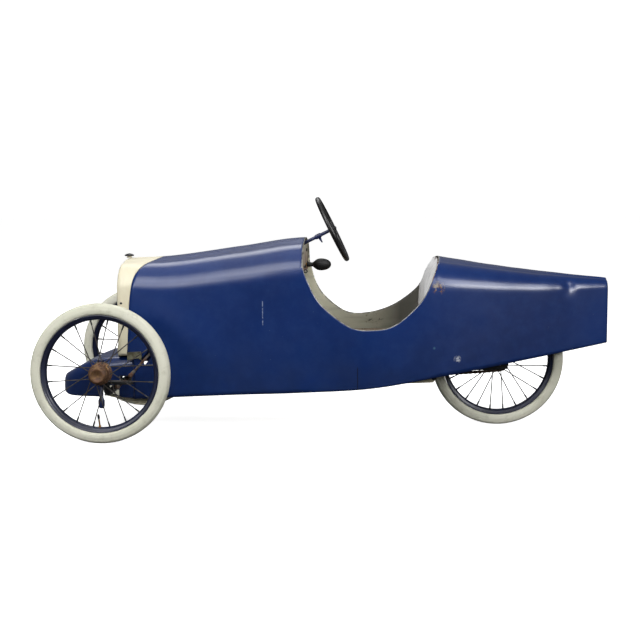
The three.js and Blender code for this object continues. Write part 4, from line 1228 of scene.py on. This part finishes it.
# Profiles as (radius, y): half of the tyre's and rim's, and the whole of the hub's and the cap's
TYRE_HALF = [
    (151.6, 13.2), (154, 15.6), (158, 16.7), (163, 17), (167.5, 16.3), (171.2, 14.6), (171.9, 14.6),
    (175.2, 12.2), (177.9, 9.2), (179.0, 7.0), (178.2, 5.9), (178.4, 5.0), (179.6, 4.0), (180, 2.0), (180, 0),
]
RIM_OUTSIDE = [
    (138.2, 0), (138.4, 4), (140, 8.4), (143, 11.2), (145.4, 11.9), (147.0, 12.4), (148.2, 14.0),
    (149.6, 14.8), (151.0, 14.0), (151.1, 12.6), (149.8, 12.0), (148.8, 11.4),
]
RIM_WELL = [(147, 9), (144.4, 0)]
FRONT_HUB = [
    (8, 13), (27, 13), (28.4, 12.2), (28.4, 10), (27, 9.2), (20, 8), (18, 6), (18, -6), (20, -8), (27, -9.2),
    (28.4, -10), (28.4, -12.2), (27.4, -13.4), (24.6, -14), (24, -15.2), (24, -29.4), (23, -30), (8, -30),
]
HUB_CAP = [
    (0, -38.9), (9.5, -38.9), (10.4, -39.5), (14.5, -40.4), (16.4, -41), (18.2, -40.4), (20.4, -38.8),
    (21.2, -36.8), (21.4, -35.4), (22.6, -34.6), (23, -33.4), (23, -30.6), (0, -30.6),
]
REAR_HUB = [
    (6.5, 49), (9.4, 49), (10, 48), (10, 28), (12, 26.6), (21, 26), (22.4, 25.2), (22.4, 22.8), (21, 22),
    (14.4, 21.4), (13, 19), (13, -19), (14.4, -21.4), (21, -22), (22.4, -22.8), (22.4, -25.2), (21, -26),
    (14, -27), (13, -28), (13, -42.8), (6.5, -43.1),
]
SPOKE_LEAN = radians(26)
SPOKE_END = 137.5


def spokes(prefix, body, count, flange_y, flange_radius, at):
    wires, nipples = Shape(), Shape()
    for k in range(count):
        side = 1 if k % 2 == 0 else -1
        outer = (k + 0.5) * tau / count
        inner = outer + side * SPOKE_LEAN
        start = Vector((flange_radius * cos(inner), side * flange_y, flange_radius * sin(inner)))
        end = Vector((SPOKE_END * cos(outer), side * 2, SPOKE_END * sin(outer)))
        along = (end - start).normalized()
        wires.tube([start - along * 1.5, end - along * 4], 1.35, 8, 0, at)
        wires.ball(at @ (start + Vector((0, side * 1.0, 0))), 2.1, 8)
        path = [end - along * 12, end - along * 10.5, end + along * 0.5]
        nipples.tube(path, [1.5, 2.1, 2.3], 8, 0, at)
    wires.build(f"{prefix}_spoke_wires", SPOKE_STEEL, f"{prefix}_spokes", body)
    nipples.build(f"{prefix}_nipples", BLACK, body=body)


def valve(prefix, body, at):
    stem = Shape().tube([(-4, 0, -138), (-4.5, -1.3, -132), (-6, -5, -112)], [2.6, 2.2, 2.2], 16, 0, at)
    stem.tube([(-4.1, -0.3, -137.5), (-4.3, -0.8, -134.6)], 4.0, 6, 0, at)
    cap = [(-5.55, -4.1, -116), (-5.7, -4.4, -114.4), (-6.3, -6.0, -107), (-6.5, -6.5, -104.4)]
    stem.tube(cap, [2.4, 3.1, 3.1, 2.3], 16, 1, at)
    stem.build(f"{prefix}_valve_stem", [BRASS, BLACK], f"{prefix}_valve", body)


def wheel(prefix, body, x, y, count, flange_y, flange_radius, side, turn=0):
    """A tyre, a rim, spokes and a valve; returns the wheel's own place for its hub."""
    at = placed((x, y, AXLE_Z), turn, "Y") @ Matrix.Diagonal((1, -side, 1, 1))
    tyre = Shape().lathe(mirrored(TYRE_HALF), 128, at, closed=True)
    tyre.build(f"{prefix}_tyre_round", TYRE, f"{prefix}_tyre", body, sharp=60)
    far = [(r, -h) for r, h in (RIM_OUTSIDE + RIM_WELL[:1])[::-1] if h > 0]
    rim = Shape().lathe(RIM_OUTSIDE + RIM_WELL + far, 128, at, closed=True)
    rim.build(f"{prefix}_rim_round", WHEEL_BLUE, f"{prefix}_rim", body, sharp=50)
    spokes(prefix, body, count, flange_y, flange_radius, at)
    valve(prefix, body, at)
    return at


def front_wheel(name, side):
    prefix, body = f"front_{name}", f"wheel_front_{name}"
    at = wheel(prefix, body, FRONT_X, side * WHEEL_Y, 20, 11, 28, side)
    hub = Shape().lathe(FRONT_HUB, 72, at, closed=True)
    for k in range(10):
        a = tau * (k + 0.5) / 10
        hub.ball(at @ Vector((25.8 * cos(a), -13.4, 25.8 * sin(a))), 2.4, 10, 0, (1, 0.7, 1))
    hub.build(f"{prefix}_hub_shell", BRONZE, f"{prefix}_hub", body, sharp=40)
    Shape().lathe(HUB_CAP, 72, at).build(f"{prefix}_cap", BRONZE, f"{prefix}_hub_cap", body, sharp=40)


for name, side in SIDES:
    front_wheel(name, side)


def toothed_ring(shape, teeth, inner, thickness, at):
    root, tip = pitch_radius(teeth) - 4, pitch_radius(teeth) + 3
    steps = 10
    rows = []
    for k in range(teeth * steps):
        a = tau * k / (teeth * steps)
        r = root + (tip - root) * max(0.0, sin(pi * (k % steps) / steps)) ** 1.5
        half, thin = thickness / 2, thickness * (0.25 if r > root + 3.5 else 0.45)
        shoulder = root - 1.5
        profile = ((r, -thin), (r, thin), (shoulder, half), (inner, half), (inner, -half), (shoulder, -half))
        rows.append([(radius * cos(a), y, radius * sin(a)) for radius, y in profile])
    return shape.grid(rows, True, True, 0, at)


def rear_wheel():
    at = wheel("rear", "wheel_rear", REAR_X, 0, 24, 24, 23.5, -1, 210)
    hub = Shape().lathe(REAR_HUB, 64, at, closed=True)
    hub.build("rear_hub_shell", STEEL, "rear_hub", "wheel_rear", sharp=40)
    cog = toothed_ring(Shape(), SPROCKET_TEETH, 7, 3, Matrix.Translation((REAR_X, CHAIN_Y, AXLE_Z)))
    cog.build("rear_cog", STEEL, "rear_sprocket", "wheel_rear", sharp=40)


rear_wheel()


# ---- drive ----


def chain_path():
    front, rear = pitch_radius(RING_TEETH), pitch_radius(SPROCKET_TEETH)
    path = []
    for k in range(25):
        a = pi / 2 + pi * k / 24
        path.append(Vector((CRANK_X + front * cos(a), 0, CRANK_Z + front * sin(a))))
    for k in range(1, 40):
        t = k / 40
        z = (1 - t) * (CRANK_Z - front) + t * (AXLE_Z - rear) - 4 * CHAIN_SAG * t * (1 - t)
        path.append(Vector((CRANK_X + t * (REAR_X - CRANK_X), 0, z)))
    for k in range(25):
        a = -pi / 2 + pi * k / 24
        path.append(Vector((REAR_X + rear * cos(a), 0, AXLE_Z + rear * sin(a))))
    return path


def chain():
    path = chain_path()
    path.append(path[0])
    lengths = [0.0]
    for a, b in zip(path, path[1:]):
        lengths.append(lengths[-1] + (b - a).length)
    count = 2 * round(lengths[-1] / CHAIN_PITCH / 2)
    pins = []
    step = lengths[-1] / count
    j = 0
    for k in range(count):
        while lengths[j + 1] < k * step:
            j += 1
        t = (k * step - lengths[j]) / (lengths[j + 1] - lengths[j])
        pins.append(path[j].lerp(path[j + 1], t))
    shape = Shape()
    for k, p in enumerate(pins):
        q = pins[(k + 1) % count]
        along = (q - p).normalized()
        up = Vector((-along.z, 0, along.x))
        outline = []
        for centre, start in ((q, -90), (p, 90)):
            for turn in range(0, 181, 36):
                a = radians(start + turn)
                outline.append(centre + (along * cos(a) + up * sin(a)) * 4.0)
            outline.append((p + q) / 2 + up * (2.9 if start < 0 else -2.9))
        flat = [(v.x, v.z) for v in outline]
        low, high = (2.75, 3.9) if k % 2 else (1.5, 2.65)
        shape.prism(flat, CHAIN_Y + low, CHAIN_Y + high).prism(flat, CHAIN_Y - high, CHAIN_Y - low)
        shape.tube([p + Vector((0, CHAIN_Y - 4, 0)), p + Vector((0, CHAIN_Y + 4, 0))], 1.8, 10)
        shape.tube([p + Vector((0, CHAIN_Y - 1.5, 0)), p + Vector((0, CHAIN_Y + 1.5, 0))], 3.4, 12)
    shape.build("roller_chain", CHAIN_STEEL, "chain", sharp=40)


chain()


def cranks():
    at = Matrix.Translation((CRANK_X, CHAIN_Y, CRANK_Z))
    ring = toothed_ring(Shape(), RING_TEETH, 31.5, 3, at)
    for k in range(5):
        spoke = [(10, -6.5), (20, -4.5), (33, -6.5), (33, 6.5), (20, 4.5), (10, 6.5)]
        ring.prism(spoke, -1.4, 1.4, "XZ", 0, at @ turned(72 * k, "Y"))
    ring.lathe([(7.4, -1.6), (14, -1.6), (14, 1.6), (7.4, 1.6)], 40, at, closed=True)
    ring.build("chain_ring", STEEL, "chainring", "cranks", sharp=40)
    spindle = Shape().rod("Y", (CRANK_X, 0, CRANK_Z), -66, 66, 7, 28)
    spindle.build("crank_spindle", STEEL, "crank_axle", "cranks", bevel=0.8)
    for name, side in SIDES:
        y = side * 59
        end = CRANK_X + side * CRANK_ARM
        half = [(CRANK_X, 8.5), (end, 6.2)]
        outline = [(x, CRANK_Z - h) for x, h in half] + [(x, CRANK_Z + h) for x, h in half[::-1]]
        arm = Shape().prism(outline, y - 4, y + 4)
        for x in (CRANK_X, end):
            arm.rod("Y", (x, y, CRANK_Z), -4, 4, 12, 32)
        arm.rod("Y", (end, 0, CRANK_Z), y, side * 117, 4.5, 20)
        arm.build(f"crank_arm_{name}", STEEL, f"crank_{name}", "cranks", bevel=1.2)
        pedal(name, end, side * 91)


def pedal(name, x, middle):
    """Two ribbed rubber blocks and their steel cage, round a tube."""
    shape = Shape()
    for dx in (-22, 22):
        ribs = [(x + dx - 9 + 18 * k / 8, CRANK_Z + (9.5 if k % 2 == 0 else 8.1)) for k in range(9)]
        ribs += [(a, 2 * CRANK_Z - b) for a, b in ribs[::-1]]
        shape.prism(ribs, middle - 20, middle + 20)
    shape.rod("Y", (x, middle, CRANK_Z), -25, 25, 8.6, 24, 1)
    for dy in (-22, 22):
        shape.box((x, middle + dy, CRANK_Z), (50, 3.6, 14), 1)
        for dx in (-22, 22):
            shape.rod("Y", (x + dx, middle, CRANK_Z), dy, dy * 1.12, 4, 6, 1)
    shape.build(f"pedal_block_{name}", [RUBBER, STEEL], f"pedal_{name}", f"pedal_{name}", bevel=0.9)


cranks()


# ---- studio ----


# Studio sizes and places in metres, light power in watts
FLOOR_HALF, DOME_RADIUS = 40, 60
# The world's glow by direction: axis, from, to, level at each end
WORLD_GLOW = (("Y", 0.7, 1.0, 0.07, 0.2), ("Z", 0.0, 1.0, 0.0, 0.12))
# Name, place, target, size, power, and whether the light reaches matt surfaces or only shows as a sheen
LIGHTS = (
    ("overhead", (-0.4, -0.2, 2.6), (-0.4, 0.0, 0.3), (2.2, 1.6), 10, True),
    ("hood_softbox", (-2.7, -3.3, 1.75), (-0.4, 0.0, 0.35), (2.0, 1.3), 58, True),
    ("hood_sheen", (-2.1, -3.2, 2.5), (-0.5, 0.0, 0.4), (2.2, 1.6), 40, False),
    ("tail_softbox", (2.9, -3.0, 1.6), (0.5, 0.0, 0.38), (1.8, 0.9), 80, True),
    ("tail_sheen", (2.9, -2.8, 2.6), (0.5, 0.0, 0.38), (1.8, 1.9), 120, False),
    ("high_front", (-0.7, -2.5, 3.1), (-0.3, 0.0, 0.2), (2.6, 1.7), 92, True),
    ("far_side", (-0.9, 2.5, 3.3), (0.0, 0.0, 0.3), (2.6, 1.4), 48, True),
)
# The photo's camera: place, then turn from the car's side, downward tilt and roll
CAMERA_PLACE = (0.116, -3.236, 0.619)
CAMERA_YAW, CAMERA_PITCH, CAMERA_ROLL = radians(-2.51), radians(5.83), radians(-0.27)
CAMERA_LENS, CAMERA_SENSOR = 66.4, 36


def surroundings():
    """A pale floor and backdrop that show in the picture and light nothing."""
    corner = FLOOR_HALF / MM
    corners = [(-corner, -corner, 0), (corner, -corner, 0), (corner, corner, 0), (-corner, corner, 0)]
    floor = Shape().add(corners, [[0, 1, 2, 3]])
    dome = Shape().ball((0, 0, 0), DOME_RADIUS / MM, 48)
    for name, shape, finish in (("floor", floor, floor_finish()), ("backdrop", dome, backdrop_finish())):
        mesh = bpy.data.meshes.new(name)
        mesh.from_pydata([v * MM for v in shape.verts], [], shape.faces)
        mesh.materials.append(finish)
        piece = link(name, mesh)
        piece.visible_diffuse = piece.visible_glossy = piece.visible_shadow = False


def world_light():
    world = bpy.data.worlds.new("studio")
    world.use_nodes = True
    tree = world.node_tree
    direction = tree.nodes.new("ShaderNodeTexCoord").outputs["Generated"]
    parts = tree.nodes.new("ShaderNodeSeparateXYZ")
    tree.links.new(direction, parts.inputs[0])
    total = tree.nodes.new("ShaderNodeMath")
    for slot, (axis, *levels) in enumerate(WORLD_GLOW):
        level = tree.nodes.new("ShaderNodeMapRange")
        tree.links.new(parts.outputs[axis], level.inputs["Value"])
        for socket, value in zip(("From Min", "From Max", "To Min", "To Max"), levels):
            level.inputs[socket].default_value = value
        tree.links.new(level.outputs[0], total.inputs[slot])
    tree.links.new(total.outputs[0], tree.nodes["Background"].inputs["Strength"])
    tree.nodes["Background"].inputs["Color"].default_value = (1.0, 1.0, 1.0, 1.0)
    bpy.context.scene.world = world


def lights():
    for name, place, target, size, power, lights_matt in LIGHTS:
        light = bpy.data.lights.new(name, "AREA")
        light.shape = "RECTANGLE"
        light.size, light.size_y = size
        light.energy = power
        lamp = link(name, light)
        lamp.location = place
        lamp.rotation_euler = (Vector(target) - Vector(place)).to_track_quat("-Z", "Y").to_euler()
        lamp.visible_diffuse = lights_matt


def camera():
    level = cos(CAMERA_PITCH)
    forward = Vector((sin(CAMERA_YAW) * level, cos(CAMERA_YAW) * level, -sin(CAMERA_PITCH)))
    right = Vector((cos(CAMERA_YAW), -sin(CAMERA_YAW), 0))
    up = right.cross(forward)
    side = right * cos(CAMERA_ROLL) + up * sin(CAMERA_ROLL)
    top = up * cos(CAMERA_ROLL) - right * sin(CAMERA_ROLL)
    lens = bpy.data.cameras.new("photo_view")
    lens.sensor_width = CAMERA_SENSOR
    lens.lens = CAMERA_LENS
    eye = link("photo_view", lens)
    matrix = Matrix((side, top, -forward)).transposed().to_4x4()
    matrix.translation = CAMERA_PLACE
    eye.matrix_world = matrix
    bpy.context.scene.camera = eye
    bpy.context.scene.view_settings.view_transform = "Standard"


surroundings()
world_light()
lights()
camera()
